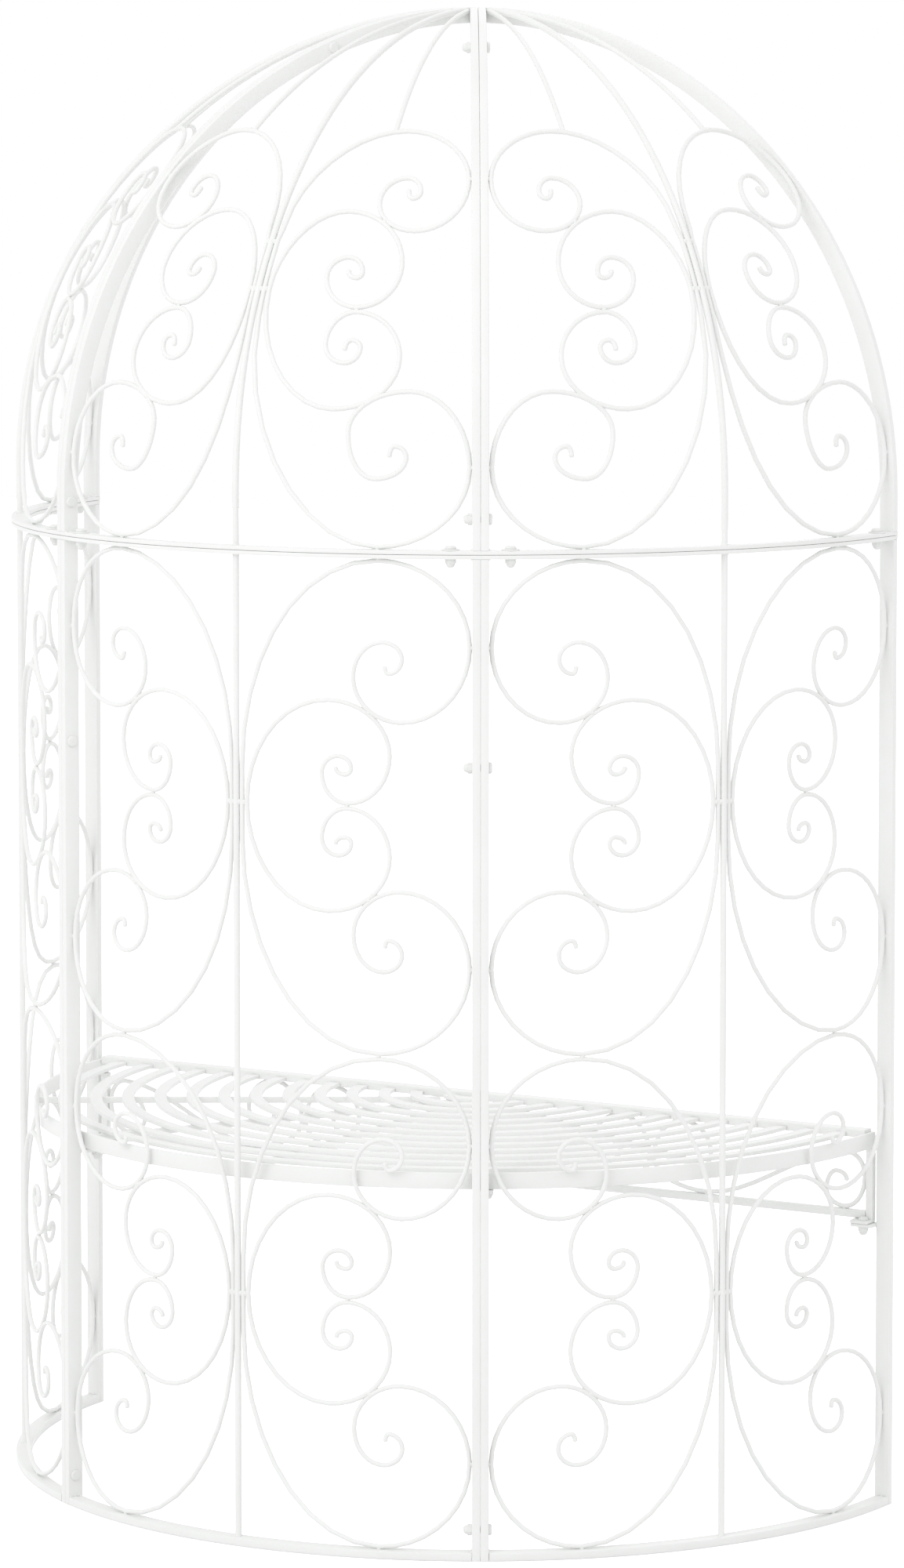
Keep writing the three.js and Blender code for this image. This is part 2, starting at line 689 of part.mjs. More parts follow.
// A rod on a meridian of the roof, between two heights
function meridian(angle, from, to, steps, radius) {
  const place = (across, share) => {
    const [r, z] = roofProfile(share, roofRodInset(share));
    const turned = angle + across / r;
    return new THREE.Vector3(r * Math.cos(turned), r * Math.sin(turned), z);
  };
  return rod(new RodLine([{ route: (t) => [0, lerp(from, to, t)], steps }], place), radius);
}

function strut(side, scrollTop) {
  const angle = side * HALF_ANGLE * STRUT_ANGLE_SHARE;
  const to = roofShareWhere(ROD_REACH, STRUT_ANGLE_SHARE);
  const foot = roofProfile(ROOF_SCROLL_TOP, roofRodInset(ROOF_SCROLL_TOP));
  const footPoint = new THREE.Vector3(foot[0] * Math.cos(angle), foot[0] * Math.sin(angle), foot[1]);
  const strutRod = meridian(angle, ROOF_SCROLL_TOP, to, STRUT_STEPS, ROD_RADIUS);
  return join([strutRod, bead(footPoint, scrollTop)]);
}

function roofScrollwork() {
  const foot = WELD_GAP / ROOF_LENGTH;
  const tip = roofShareWhere(CENTRE_BAR_RADIUS + WELD_GAP, 0);
  return join([
    meridian(0, foot, tip, ROOF_ROD_STEPS, CENTRE_BAR_RADIUS),
    ...roofScrolls(1),
    ...roofScrolls(-1),
  ]);
}

// The outline of a rib seen from the side, extruded to its thickness and mitred at the tip
function rib(side, isFront) {
  const foot = ROOF_FLOOR + WELD_GAP;
  const shape = new THREE.Shape();
  shape.moveTo(RADIUS, foot);
  shape.lineTo(RADIUS, ROOF_SPRING);
  shape.absellipse(0, ROOF_SPRING, RADIUS, ROOF_RISE, 0, QUARTER, false);
  shape.lineTo(0, ROOF_TOP - BAR_DEPTH);
  shape.absellipse(0, ROOF_SPRING, INNER_RADIUS, ROOF_RISE - BAR_DEPTH, QUARTER, 0, true);
  shape.lineTo(INNER_RADIUS, foot);
  const options = { depth: BAR_THICKNESS, bevelEnabled: false, curveSegments: RIB_FACETS };
  const [, nearest] = besideJoint(side, ROOF_JOINT_GAP, BAR_THICKNESS);
  const bar = new THREE.ExtrudeGeometry(shape, options).rotateX(QUARTER).translate(0, nearest, 0);
  const holes = isFront ? [] : roofBoltPlaces().map(([r, z]) => jointHole(z, r));
  const turned = (holes.length ? cut(bar, holes) : bar).rotateZ(side * HALF_ANGLE);
  const height = [ROOF_TOP - ROOF_RISE / 2, ROOF_TOP + OVERRUN];
  const reach = BAR_DEPTH + BAR_THICKNESS;
  const beyond = besideJoint(side, -RIB_MITRE_GAP / 2, 2 * reach);
  const mitre = block([-reach, reach + TIP_CUT], beyond, height);
  const tip = block([-reach, TIP_CUT], [-reach, reach], height);
  return cut(turned, [mitre, tip]);
}

function roofBoltPlaces() {
  const low = roofProfile(ROOF_BOLT_FOOT / ROOF_LENGTH, BAR_DEPTH / 2);
  const high = roofProfile(ROOF_BOLT_TOP_SHARE, BAR_DEPTH / 2);
  return [low, high];
}

// Seat

function seatRim() {
  const start = Math.asin(FRONT_INSET / RIM_INNER);
  const ring = [RIM_INNER, SEAT_RADIUS];
  return bentBar(ring, [start, Math.PI - start], [RIM_BOTTOM, SEAT_HEIGHT], RAIL_CHORD_ERROR);
}

// The front bar fits between the ends of the rim
function seatFrontBar() {
  const half = Math.sqrt(RIM_INNER ** 2 - FRONT_BACK ** 2) - RAIL_CHORD_ERROR - WELD_GAP;
  return block([-half, half], [FRONT_INSET, FRONT_BACK], [FRONT_BAR_BOTTOM, FRONT_BAR_TOP]);
}

function slat(index) {
  const outer = RIM_INNER - SLAT_GAP - index * (SLAT_WIDTH + SLAT_GAP);
  const inner = outer - SLAT_WIDTH;
  const start = Math.asin((FRONT_BACK + WELD_GAP) / inner);
  return bentBar([inner, outer], [start, Math.PI - start], [SLAT_BOTTOM, SEAT_HEIGHT], CHORD_ERROR);
}

function slatSupport(angle) {
  const half = SUPPORT_WIDTH / 2;
  const front = FRONT_BACK + WELD_GAP + half * Math.abs(Math.cos(angle));
  const from = front / Math.sin(angle);
  const to = Math.sqrt(RIM_INNER ** 2 - half ** 2) - RAIL_CHORD_ERROR - WELD_GAP;
  const bar = block([from, to], [-half, half], [SUPPORT_BOTTOM, SLAT_BOTTOM + BITE]);
  return bar.rotateZ(angle);
}

const jointAngles = Array.from({ length: PANEL_COUNT - 1 }, (_, i) => (i + 1) * PANEL_ANGLE);

// The lug under a support that the rear bolt passes through
function rearLug(angle) {
  const length = [INNER_RADIUS - TAB_LENGTH, RIM_INNER - RIM_THICKNESS];
  const width = [-SUPPORT_WIDTH / 2, WALL_JOINT_GAP + REAR_TAB_WIDTH];
  return block(length, width, [RIM_BOTTOM, SUPPORT_BOTTOM + BITE]).rotateZ(angle);
}

function seatSlats() {
  const slats = Array.from({ length: SLAT_COUNT }, (_, i) => slat(i));
  const step = Math.PI / (SUPPORT_COUNT + 1);
  const supports = Array.from({ length: SUPPORT_COUNT }, (_, i) => slatSupport((i + 1) * step));
  const holeZ = [RIM_BOTTOM - OVERRUN, SUPPORT_BOTTOM + OVERRUN];
  const holes = jointAngles.map((angle) =>
    upright(HOLE_RADIUS, holeZ, SEAT_BOLT_RADIUS, REAR_BOLT_OFFSET).rotateZ(angle),
  );
  return cut(join([...slats, ...supports, ...jointAngles.map(rearLug)]), holes);
}

function apronLowerBar() {
  const half = POST_INNER - WELD_GAP;
  return block([-half, half], [FRONT_INSET, APRON_BACK], [APRON_BOTTOM, APRON_FLOOR]);
}

// An end post of the apron, with the lug that the front bolt passes through
function apronEnd(side) {
  const height = [LUG_TOP - BITE, RIM_BOTTOM - WELD_GAP];
  const post = block([side * POST_INNER, side * POST_OUTER], [FRONT_INSET, APRON_BACK], height);
  const lugX = [side * (INNER_RADIUS - TAB_LENGTH), side * POST_OUTER];
  const lugY = [FRONT_INSET, FRONT_BOLT_OFFSET + SEAT_HEAD_RADIUS + LUG_MARGIN];
  const lugZ = [LUG_TOP - TAB_THICKNESS, LUG_TOP];
  const holeZ = [lugZ[0] - OVERRUN, lugZ[1] + OVERRUN];
  const hole = upright(HOLE_RADIUS, holeZ, side * FRONT_BOLT_X, FRONT_BOLT_OFFSET);
  return cut(join([post, block(lugX, lugY, lugZ)]), [hole]);
}

function apronPoint([across, up]) {
  return [
    clamp(across * POST_INNER, ROD_REACH, POST_INNER - ROD_REACH),
    clamp(up * APRON_HEIGHT, ROD_REACH, APRON_HEIGHT - ROD_REACH),
  ];
}

function apronScroll(side, nearShares, farShares) {
  const near = nearShares.map(apronPoint);
  const far = farShares.map(apronPoint);
  const middle = (FRONT_INSET + APRON_BACK) / 2;
  const place = (across, up) => new THREE.Vector3(side * across, middle, APRON_FLOOR + up);
  return new RodLine(
    [
      ...turns(near, APRON_TURN_STEPS, true),
      { route: run(near[near.length - 1], far[0], false), steps: APRON_RUN_STEPS },
      ...turns(far, APRON_FAR_TURN_STEPS, false),
    ],
    place,
  );
}

function apronScrolls(side) {
  const outer = apronScroll(side, APRON_OUTER_CURL_SHARES, APRON_OUTER_FAR_CURL_SHARES);
  const inner = apronScroll(side, APRON_INNER_CURL_SHARES, APRON_INNER_FAR_CURL_SHARES);
  return join([
    rod(outer, ROD_RADIUS),
    rod(inner, ROD_RADIUS),
    weld(outer, APRON_WELD_SHARES, inner, APRON_WELD_SHARES),
  ]);
}

// Bolts, each with its cap nut, standing on the Z axis with the head's seat at zero

function boltWithNut(grip, head, washer) {
  const nutTop = -grip;
  const nutBottom = nutTop - NUT_HEIGHT;
  const outline = [
    [0, nutBottom - CAP_HEIGHT],
    [CAP_RADIUS, nutBottom - CAP_HEIGHT],
    [NUT_RADIUS, nutBottom],
    [NUT_RADIUS, nutTop],
    [BOLT_RADIUS, nutTop],
    [BOLT_RADIUS, 0],
  ];
  if (washer) outline.push([WASHER_RADIUS, 0], [WASHER_RADIUS, WASHER_THICKNESS]);
  const seat = washer ? WASHER_THICKNESS : 0;
  const headTop = seat + head.height;
  outline.push([head.radius, seat], [head.radius * HEAD_TOP_SHARE, headTop], [0, headTop]);
  const points = outline.map(([r, z]) => new THREE.Vector2(r, z));
  return new THREE.LatheGeometry(points, BOLT_SIDES).rotateX(QUARTER);
}

const PAN_HEAD = { radius: HEAD_RADIUS, height: HEAD_HEIGHT };
const SEAT_HEAD = { radius: SEAT_HEAD_RADIUS, height: SEAT_HEAD_HEIGHT };

function jointBolt(gap, r, z) {
  const grip = 2 * (gap + BAR_THICKNESS + WELD_GAP);
  return boltWithNut(grip, PAN_HEAD, false).rotateX(-QUARTER).translate(r, grip / 2, z);
}

function railBolt(side) {
  const grip = 2 * RAIL_THICKNESS + RAIL_JOINT_GAP + 2 * WELD_GAP;
  const bolt = boltWithNut(grip, PAN_HEAD, true).translate(MID_RADIUS, 0, ROOF_FLOOR + WELD_GAP);
  return bolt.rotateZ(side * RAIL_BOLT_ANGLE);
}

function seatBolt(x, y, lugTop, lugThickness) {
  const grip = lugThickness + TAB_THICKNESS + 3 * WELD_GAP;
  return boltWithNut(grip, SEAT_HEAD, false).translate(x, y, lugTop + WELD_GAP);
}

// Assembly

const arbour = new THREE.Group();
arbour.name = "arbour_seat";
// The reference point is the middle of the footprint, on the ground
arbour.position.y = -(RADIUS + WALL_JOINT_GAP) / 2;

function add(parent, name, geometry, material = paintedSteel) {
  const mesh = new THREE.Mesh(geometry, material);
  mesh.name = name;
  parent.add(mesh);
}

const FRONT_TAB = {
  top: FRONT_TAB_TOP,
  width: FRONT_TAB_WIDTH,
  boltX: FRONT_BOLT_X,
  boltOffset: FRONT_BOLT_OFFSET,
};
const REAR_TAB = {
  top: REAR_TAB_TOP,
  width: REAR_TAB_WIDTH,
  boltX: SEAT_BOLT_RADIUS,
  boltOffset: REAR_BOLT_OFFSET,
};
const SIDE_NAMES = { "-1": "a", 1: "b" };

// Panels in order round the half circle, from the right of someone on the seat's front side
const panels = ["right", "rear", "left"];

panels.forEach((panel, index) => {
  const group = new THREE.Group();
  group.rotation.z = HALF_ANGLE + index * PANEL_ANGLE;
  arbour.add(group);
  for (const side of [-1, 1]) {
    const isFront = (side < 0 && index === 0) || (side > 0 && index === panels.length - 1);
    const rearTab = side < 0 ? REAR_TAB : undefined;
    const tab = isFront ? FRONT_TAB : rearTab;
    const end = SIDE_NAMES[side];
    add(group, `${panel}_wall_stile_${end}`, wallStile(side, isFront, tab));
    add(group, `${panel}_wall_scrolls_${end}`, wallScrolls(side));
    add(group, `${panel}_roof_rib_${end}`, rib(side, isFront));
    add(group, `${panel}_rail_bolt_${end}`, railBolt(side), platedSteel);
  }
  add(group, `${panel}_wall_bottom_rail`, bottomRail());
  add(group, `${panel}_wall_top_rail`, flatRail(WALL_JOINT_GAP, [WALL_CEILING, WALL_HEIGHT]));
  add(group, `${panel}_wall_centre_bar`, wallCentreBar());
  add(group, `${panel}_roof_rail`, flatRail(ROOF_JOINT_GAP, [ROOF_BASE, ROOF_FLOOR]));
  add(group, `${panel}_roof_scrollwork`, roofScrollwork());
});

const seat = new THREE.Group();
arbour.add(seat);
add(seat, "seat_rim", seatRim());
add(seat, "seat_front_bar", seatFrontBar());
add(seat, "seat_slats", seatSlats());
add(seat, "apron_lower_bar", apronLowerBar());
for (const [side, end] of [[1, "right"], [-1, "left"]]) {
  add(seat, `apron_${end}_end`, apronEnd(side));
  add(seat, `apron_${end}_scrolls`, apronScrolls(side));
  const x = side * FRONT_BOLT_X;
  const bolt = seatBolt(x, FRONT_BOLT_OFFSET, LUG_TOP, TAB_THICKNESS);
  add(seat, `seat_front_bolt_${end}`, bolt, platedSteel);
}

const jointNames = ["right", "left"];
jointAngles.forEach((angle, index) => {
  const joint = new THREE.Group();
  joint.rotation.z = angle;
  arbour.add(joint);
  const name = jointNames[index];
  const [roofFoot, roofTop] = roofBoltPlaces();
  const [wallFoot, wallMiddle] = WALL_BOLT_HEIGHTS;
  add(joint, `${name}_joint_bolt_wall_foot`, jointBolt(WALL_JOINT_GAP, MID_RADIUS, wallFoot), platedSteel);
  add(joint, `${name}_joint_bolt_wall_middle`, jointBolt(WALL_JOINT_GAP, MID_RADIUS, wallMiddle), platedSteel);
  add(joint, `${name}_joint_bolt_roof_foot`, jointBolt(ROOF_JOINT_GAP, ...roofFoot), platedSteel);
  add(joint, `${name}_joint_bolt_roof_top`, jointBolt(ROOF_JOINT_GAP, ...roofTop), platedSteel);
  const lugThickness = SUPPORT_BOTTOM - RIM_BOTTOM;
  const bolt = seatBolt(SEAT_BOLT_RADIUS, REAR_BOLT_OFFSET, SUPPORT_BOTTOM + BITE, lugThickness + BITE);
  add(joint, `seat_rear_bolt_${name}`, bolt, platedSteel);
});

export default arbour;
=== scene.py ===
# The arbour seat as it looks in the photograph, drawn round the axis of its half circle

import math

import bmesh
import bpy
from mathutils import Matrix, Vector


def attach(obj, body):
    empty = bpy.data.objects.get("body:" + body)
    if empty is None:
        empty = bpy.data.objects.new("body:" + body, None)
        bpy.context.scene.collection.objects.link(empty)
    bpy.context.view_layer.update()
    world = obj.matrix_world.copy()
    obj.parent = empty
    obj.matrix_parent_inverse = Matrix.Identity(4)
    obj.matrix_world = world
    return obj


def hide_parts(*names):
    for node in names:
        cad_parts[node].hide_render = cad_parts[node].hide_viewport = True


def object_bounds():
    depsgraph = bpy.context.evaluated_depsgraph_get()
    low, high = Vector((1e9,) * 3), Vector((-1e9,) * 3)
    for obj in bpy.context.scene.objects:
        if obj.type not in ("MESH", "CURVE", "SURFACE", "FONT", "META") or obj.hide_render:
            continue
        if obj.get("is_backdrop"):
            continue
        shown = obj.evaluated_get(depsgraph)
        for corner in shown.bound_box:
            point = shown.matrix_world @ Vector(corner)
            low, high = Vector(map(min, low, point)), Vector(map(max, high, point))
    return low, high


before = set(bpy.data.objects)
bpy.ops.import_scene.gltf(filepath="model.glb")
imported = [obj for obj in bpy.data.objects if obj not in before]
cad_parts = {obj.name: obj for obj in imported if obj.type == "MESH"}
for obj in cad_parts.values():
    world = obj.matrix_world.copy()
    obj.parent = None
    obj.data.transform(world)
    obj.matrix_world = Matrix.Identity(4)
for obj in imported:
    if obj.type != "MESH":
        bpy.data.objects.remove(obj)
CAD_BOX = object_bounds()

MM = 0.001  # metres in a millimetre
EAST = Vector((1, 0, 0))
NORTH = Vector((0, 1, 0))
UP = Vector((0, 0, 1))
ALONG_X = Matrix(((0, 0, 1), (1, 0, 0), (0, 1, 0)))  # turns X to Y, Y to Z and Z to X

# The part's driving dimensions, in millimetres
RADIUS = 600  # of the plan, outside
WALL_HEIGHT = 1220
ROOF_STRAIGHT = 45  # the roof's ribs run straight up this far
ROOF_RISE = 605
SEAT_HEIGHT = 470
PANELS = ("right", "rear", "left")
REPEATS = 2  # of the pattern, one above the other in a wall panel
BAR_DEPTH = 20
BAR_THICKNESS = 10
RAIL_THICKNESS = 5
BAR_CORNER = 1.1
RAIL_CORNER = 0.9
CENTRE_BAR_RADIUS = 4
ROD_RADIUS = 3
WALL_FLATNESS = 0.6  # 0 bends the scrolls as the rails are bent, 1 leaves half a panel flat
ROOF_FLATNESS = 0.8
WALL_JOINT_GAP = 0.15  # from a joint's plane to the stiles on its two sides
ROOF_JOINT_GAP = 0.15  # the same for the ribs
RAIL_JOINT_GAP = 0.4  # between the walls' top rails and the roof's
WELD_GAP = 0.3  # between pieces that are welded to each other
END_GAP = 0.05  # where an upright bar ends at a rail
ROD_TO_ROD = 0.3  # between rods that lie side by side in a bundle

# The roof's details
TIP_CUT = 12  # the ribs end this far from the axis
MITRE_GAP = 0.15
TIP_SETTLE = 0.6  # the solid ribs, bent in straight steps, end this much lower
ROOF_WELD_SHARES = (0.32, 0.385)  # where the bundle's two welds are, up the roof
ROOF_WAIST_SHARE = 0.294  # where the medium scrolls meet, up the roof
ROOF_FLUSH_SHARE = 0.3  # from here up the rods lie flush with the ribs' outer faces
STRUT_ANGLE_SHARE = 0.5  # where the struts are, from the centre rod to the ribs

# Seat and apron
SEAT_CLEARANCE = 0.5  # round the seat, inside the walls
RIM_THICKNESS = 5
RIM_HEIGHT = 20
SLAT_COUNT = 13
SLAT_WIDTH = 16
SLAT_THICKNESS = 5
SLAT_CORNER = 0.8
INNER_SLAT_RADIUS = 30
SUPPORT_WIDTH = 6
SUPPORT_HEIGHT = 8
SUPPORT_COUNT = 5
SUPPORT_CORNER = 1
FRONT_INSET = 1  # from the front plane to the seat's front bar
FRONT_BAR_RISE = 4  # the front bar stands this far above the slats
APRON_HEIGHT = 94  # clear height between its lower bar and the seat's front bar
APRON_END_INSET = 4.5  # from the stiles to the apron's end posts
APRON_CORNER = 1.6

# Tabs, lugs and bolts
TAB_THICKNESS = 4
FRONT_TAB_WIDTH = 24
REAR_TAB_WIDTH = 16
TAB_LENGTH = 30
LUG_MARGIN = 2  # of a lug beyond its bolt's head
TAB_CORNER = 3
LARGEST_CORNER_SHARE = 1 / 3  # of a plate's width and of its depth
PLATE_BEVEL = 0.7
BOLT_RADIUS = 4
PANEL_BOLT_HEAD = (7, 4)  # radius and height
WASHER_RADIUS = 11
WASHER_THICKNESS = 1.5
NUT_RADIUS = 7
NUT_HEIGHT = 5.5
CAP_HEIGHT = 5
CAP_RADIUS = 5.4
SEAT_HEAD_RADIUS = 6
SEAT_BOLT_HEAD = (SEAT_HEAD_RADIUS, 4)  # the same
REAR_BOLT_REACH = 23  # of the seat's bolts, in from the walls' inner face
FRONT_BOLT_REACH = 14
JOINT_BOLT_FOOT = 37  # height of a joint's lowest bolt
JOINT_BOLT_MIDDLE_SHARE = 0.79  # of the wall's height
ROOF_BOLT_FOOT = 37  # the same above the roof's rail
ROOF_BOLT_TOP_SHARE = 0.771  # of the way up the roof
RAIL_BOLT_INSET = 36  # from a joint's plane, along the rail

# How a bolt is turned: each pair is a share of the radius and one of the height
HEAD_SHARES = ((1, 0.45), (0.93, 0.75), (0.78, 0.95), (0.6, 1))
CAP_SHARES = ((0.3, 1), (0.65, 0.9), (0.9, 0.6), (1, 0.15), (1, 0))
NUT_FACE_SHARE = 0.9  # the round part of a nut's end faces
NUT_CHAMFER = 0.9
EDGE_ROUND = 0.4  # of a washer's foot, and the height of a head's
EDGE_INSET = 0.3  # of a head's foot and of a washer's top
HALF_FLAT = math.pi / 6  # half the angle of a hexagon's side

# Where each scroll runs straight up and straight across by turns, as in the part's source
WALL_LARGE_SHARES = (
    (0.025, 0.15), (0.62, 1), (1, 0.645), (0.707, 0.34), (0.508, 0.516),
    (0.633, 0.662), (0.713, 0.595), (0.657, 0.536), (0.642, 0.562),
)
WALL_MEDIUM_SHARES = (
    (0.4, 0.425), (0.66, 0.205), (0.478, 0), (0.37, 0.13),
    (0.44, 0.2), (0.496, 0.152), (0.47, 0.126), (0.43, 0.152),
)
ROOF_LARGE_UPPER_SHARES = (
    (0.04, 0.41), (0.605, 0.562), (1, 0.48), (0.715, 0.402), (0.515, 0.446),
    (0.65, 0.482), (0.73, 0.46), (0.69, 0.45), (0.665, 0.462),
)
ROOF_LARGE_LOWER_SHARES = (
    (0.03, 0.283), (0.617, 0), (1, 0.1), (0.74, 0.192), (0.48, 0.142),
    (0.6, 0.085), (0.73, 0.111), (0.68, 0.125), (0.66, 0.113),
)
ROOF_MEDIUM_UPPER_SHARES = (
    (0.357, 0.43), (0.67, 0.353), (0.475, ROOF_WAIST_SHARE), (0.312, 0.34),
    (0.405, 0.364), (0.482, 0.343), (0.455, 0.336), (0.415, 0.345),
)
ROOF_MEDIUM_LOWER_SHARES = (
    (0.407, 0.169), (0.688, 0.233), (0.475, ROOF_WAIST_SHARE), (0.35, 0.251),
    (0.443, 0.226), (0.51, 0.245), (0.468, 0.255), (0.44, 0.243),
)
APRON_OUTER_SHARES = (
    (0.95, 0.39), (0.925, 0.5), (0.9, 0.24), (0.945, 0), (1, 0.45), (0.955, 0.76),
)
APRON_OUTER_FAR_SHARES = (
    (0.6, 0), (0.465, 0.43), (0.54, 1), (0.61, 0.57), (0.57, 0.32), (0.54, 0.54),
)
APRON_INNER_SHARES = (
    (0.05, 0.39), (0.075, 0.5), (0.1, 0.24), (0.055, 0), (0, 0.45), (0.045, 0.76),
)
APRON_INNER_FAR_SHARES = (
    (0.32, 0), (0.455, 0.43), (0.38, 1), (0.31, 0.57), (0.35, 0.32), (0.38, 0.54),
)

# Ends and welds
BAR_END_BEVEL = 0.5  # of the seat's straight bars
STILE_END_BEVEL = 0.2
TAB_LAP = 0.2  # of a tab into its stile
ROD_END_SHARE = 0.6  # how far a rod's rounded end stands out, of its radius
ROD_END_ANGLE = math.radians(75)  # where the rounding stops
WELD_REACH = 1.6
WELD_PLACES = (-0.35, 0, 0.35)  # along a bar's depth, as shares of it
TAB_WELD_PLACES = (-0.25, 0.25)  # across a stile, as shares of its thickness
BETWEEN_REACH = 0.4 * WELD_REACH  # of the weld between two scrolls, beyond them
ROUND_BAR_REACH = 0.5 * WELD_REACH  # the same round the end of a centre bar
STRUT_REACH = 0.6  # the same at the foot of a strut
BUNDLE_WELD_RADIUS = 3.7
WELD_CLEARANCE = 14  # from a bundle's middle to the next weld between its scrolls
BEAD_UNEVENNESS = 0.12
BEAD_LOBES = 3
BEAD_TURN = 1.7  # from one bead's lobes to the next one's

# Fineness of the surfaces
TURN_STEPS = 9
ROD_SIDES = 12
ROUND_BAR_SIDES = 24
CORNER_STEPS = 3
RAIL_STEPS = 36
RIB_STEPS = 44
HALF_RING_STEPS = 96
BOLT_SIDES = 30
BEAD_RINGS = 6
BEAD_SIDES = 10
END_RINGS = 3
SHARP_ANGLE = math.radians(38)
SMALL_STEP = 1e-3  # for finding which way a surface faces
NEAREST_RADIUS = 1  # closer to the axis than this, a step sideways turns no farther
CUT_TOLERANCE = 1e-7

# Worked out from the above
PANEL_ANGLE = math.pi / len(PANELS)
HALF_ANGLE = PANEL_ANGLE / 2
QUARTER = math.pi / 2
INNER_RADIUS = RADIUS - BAR_DEPTH
MID_RADIUS = RADIUS - BAR_DEPTH / 2
ARCH_SHARE = 1 - math.cos(HALF_ANGLE / 2)  # how deep half a panel curves, of its radius
SCROLLS_INSIDE = MID_RADIUS * (1 - ARCH_SHARE * WALL_FLATNESS) - ROD_RADIUS
LARGE_OFFSET = CENTRE_BAR_RADIUS + ROD_TO_ROD + ROD_RADIUS
MEDIUM_OFFSET = LARGE_OFFSET + 2 * ROD_RADIUS + ROD_TO_ROD
WALL_FLOOR = BAR_THICKNESS
WALL_CEILING = WALL_HEIGHT - RAIL_THICKNESS
HALF_REPEAT = (WALL_CEILING - WALL_FLOOR) / REPEATS / 2
CLEAR_BAY = MID_RADIUS * (HALF_ANGLE - math.asin((WALL_JOINT_GAP + BAR_THICKNESS) / MID_RADIUS))
ROOF_BASE = WALL_HEIGHT + RAIL_JOINT_GAP
ROOF_FLOOR = ROOF_BASE + RAIL_THICKNESS
ROOF_SPRING = ROOF_FLOOR + ROOF_STRAIGHT
ROOF_LENGTH = ROOF_STRAIGHT + ROOF_RISE * QUARTER
STRAIGHT_SHARE = ROOF_STRAIGHT / ROOF_LENGTH
ROOF_SCROLL_TOP = ROOF_LARGE_UPPER_SHARES[1][1]
SEAT_RADIUS = min(INNER_RADIUS, SCROLLS_INSIDE) - SEAT_CLEARANCE
RIM_INNER = SEAT_RADIUS - RIM_THICKNESS
RIM_BOTTOM = SEAT_HEIGHT - RIM_HEIGHT
FRONT_BACK = FRONT_INSET + BAR_DEPTH
SLAT_BOTTOM = SEAT_HEIGHT - SLAT_THICKNESS
SLAT_GAP = (RIM_INNER - INNER_SLAT_RADIUS - SLAT_COUNT * SLAT_WIDTH) / SLAT_COUNT
SUPPORT_BOTTOM = SLAT_BOTTOM - SUPPORT_HEIGHT
FRONT_BAR_TOP = SEAT_HEIGHT + FRONT_BAR_RISE
FRONT_BAR_BOTTOM = FRONT_BAR_TOP - BAR_THICKNESS
APRON_FLOOR = FRONT_BAR_BOTTOM - APRON_HEIGHT
APRON_BOTTOM = APRON_FLOOR - BAR_THICKNESS
APRON_BACK = FRONT_INSET + BAR_THICKNESS
POST_OUTER = INNER_RADIUS - APRON_END_INSET
POST_INNER = POST_OUTER - BAR_THICKNESS
LUG_TOP = APRON_BOTTOM - WELD_GAP
FRONT_TAB_TOP = LUG_TOP - TAB_THICKNESS - WELD_GAP
REAR_TAB_TOP = RIM_BOTTOM - WELD_GAP
SEAT_BOLT_RADIUS = INNER_RADIUS - REAR_BOLT_REACH
REAR_BOLT_OFFSET = SUPPORT_WIDTH / 2 + WELD_GAP + SEAT_HEAD_RADIUS
FRONT_BOLT_X = INNER_RADIUS - FRONT_BOLT_REACH
FRONT_BOLT_OFFSET = APRON_BACK + SEAT_HEAD_RADIUS + WELD_GAP
JOINT_ANGLES = tuple((i + 1) * PANEL_ANGLE for i in range(len(PANELS) - 1))

# The axis of the half circle stands a joint gap in front of the solids' front faces
AXIS_Y = CAD_BOX[0][1] - WALL_JOINT_GAP * MM

COAT_SLOT = "coated_steel"
BOLT_SLOT = "bolt_steel"

# The powder coat: how its white drifts, and its orange peel
DRIFT_SCALE = 9
DRIFT_RANGE = (0.3, 0.7)
DRIFT_DETAIL = 4
PEEL_DETAIL = 2
PIT_DETAIL = 3
PIT_SIZE = 6  # of the pits, times that of the peel
COARSE = 0.6  # roughness of the drift and of the pits
FINE = 0.5  # roughness of the peel
GLOSS_RANGE = (-0.05, 0.06)
PEEL_STRENGTH = 0.12
PEEL_DEPTH = 0.0001
SPECULAR = 0.3
COAT_WHITE = (0.862, 0.87, 0.86)
BOLT_WHITE = (0.83, 0.838, 0.828)
COAT_SHADE = (0.832, 0.84, 0.828)
WELD_SHADE = (0.822, 0.83, 0.818)
BOLT_SHADE = (0.79, 0.798, 0.785)

# Sky, floor and lamps
WORLD_LIGHT = 0.935  # of the sky, on what it shines on
FLOOR_LIFT = 0.6  # how strongly the floor glows where it is seen
FLOOR_GREY = 0.85
FLOOR_HALF = 14
FLOOR_DROP = 0.0005
LAMP_DISTANCE = 6
LAMP_SIZE = 4.5
LAMP_TARGET_SHARE = 1.5  # the height that the lamps point at, of the radius
# Each lamp's name, azimuth and elevation in degrees, and power in watts
LAMPS = (("key", 82, 34, 78), ("fill", 190, 20, 13), ("front", -80, 30, 25))

# The photograph, in its own pixels, and the camera that fits it
PHOTO_HEIGHT = 2000
PHOTO_CENTRE_ROW = 677
PHOTO_FOCAL = 7939
SENSOR = 36
CAMERA_ANGLE = math.radians(119.643)
CAMERA_TURN = math.radians(0.236)
CAMERA_DIP = math.radians(4.529)
CAMERA_DISTANCE = 8.0
CAMERA_HEIGHT = 1.8358


def lerp(a, b, t):
    return a + (b - a) * t


def clamp(value, low, high):
    return max(low, min(high, value))


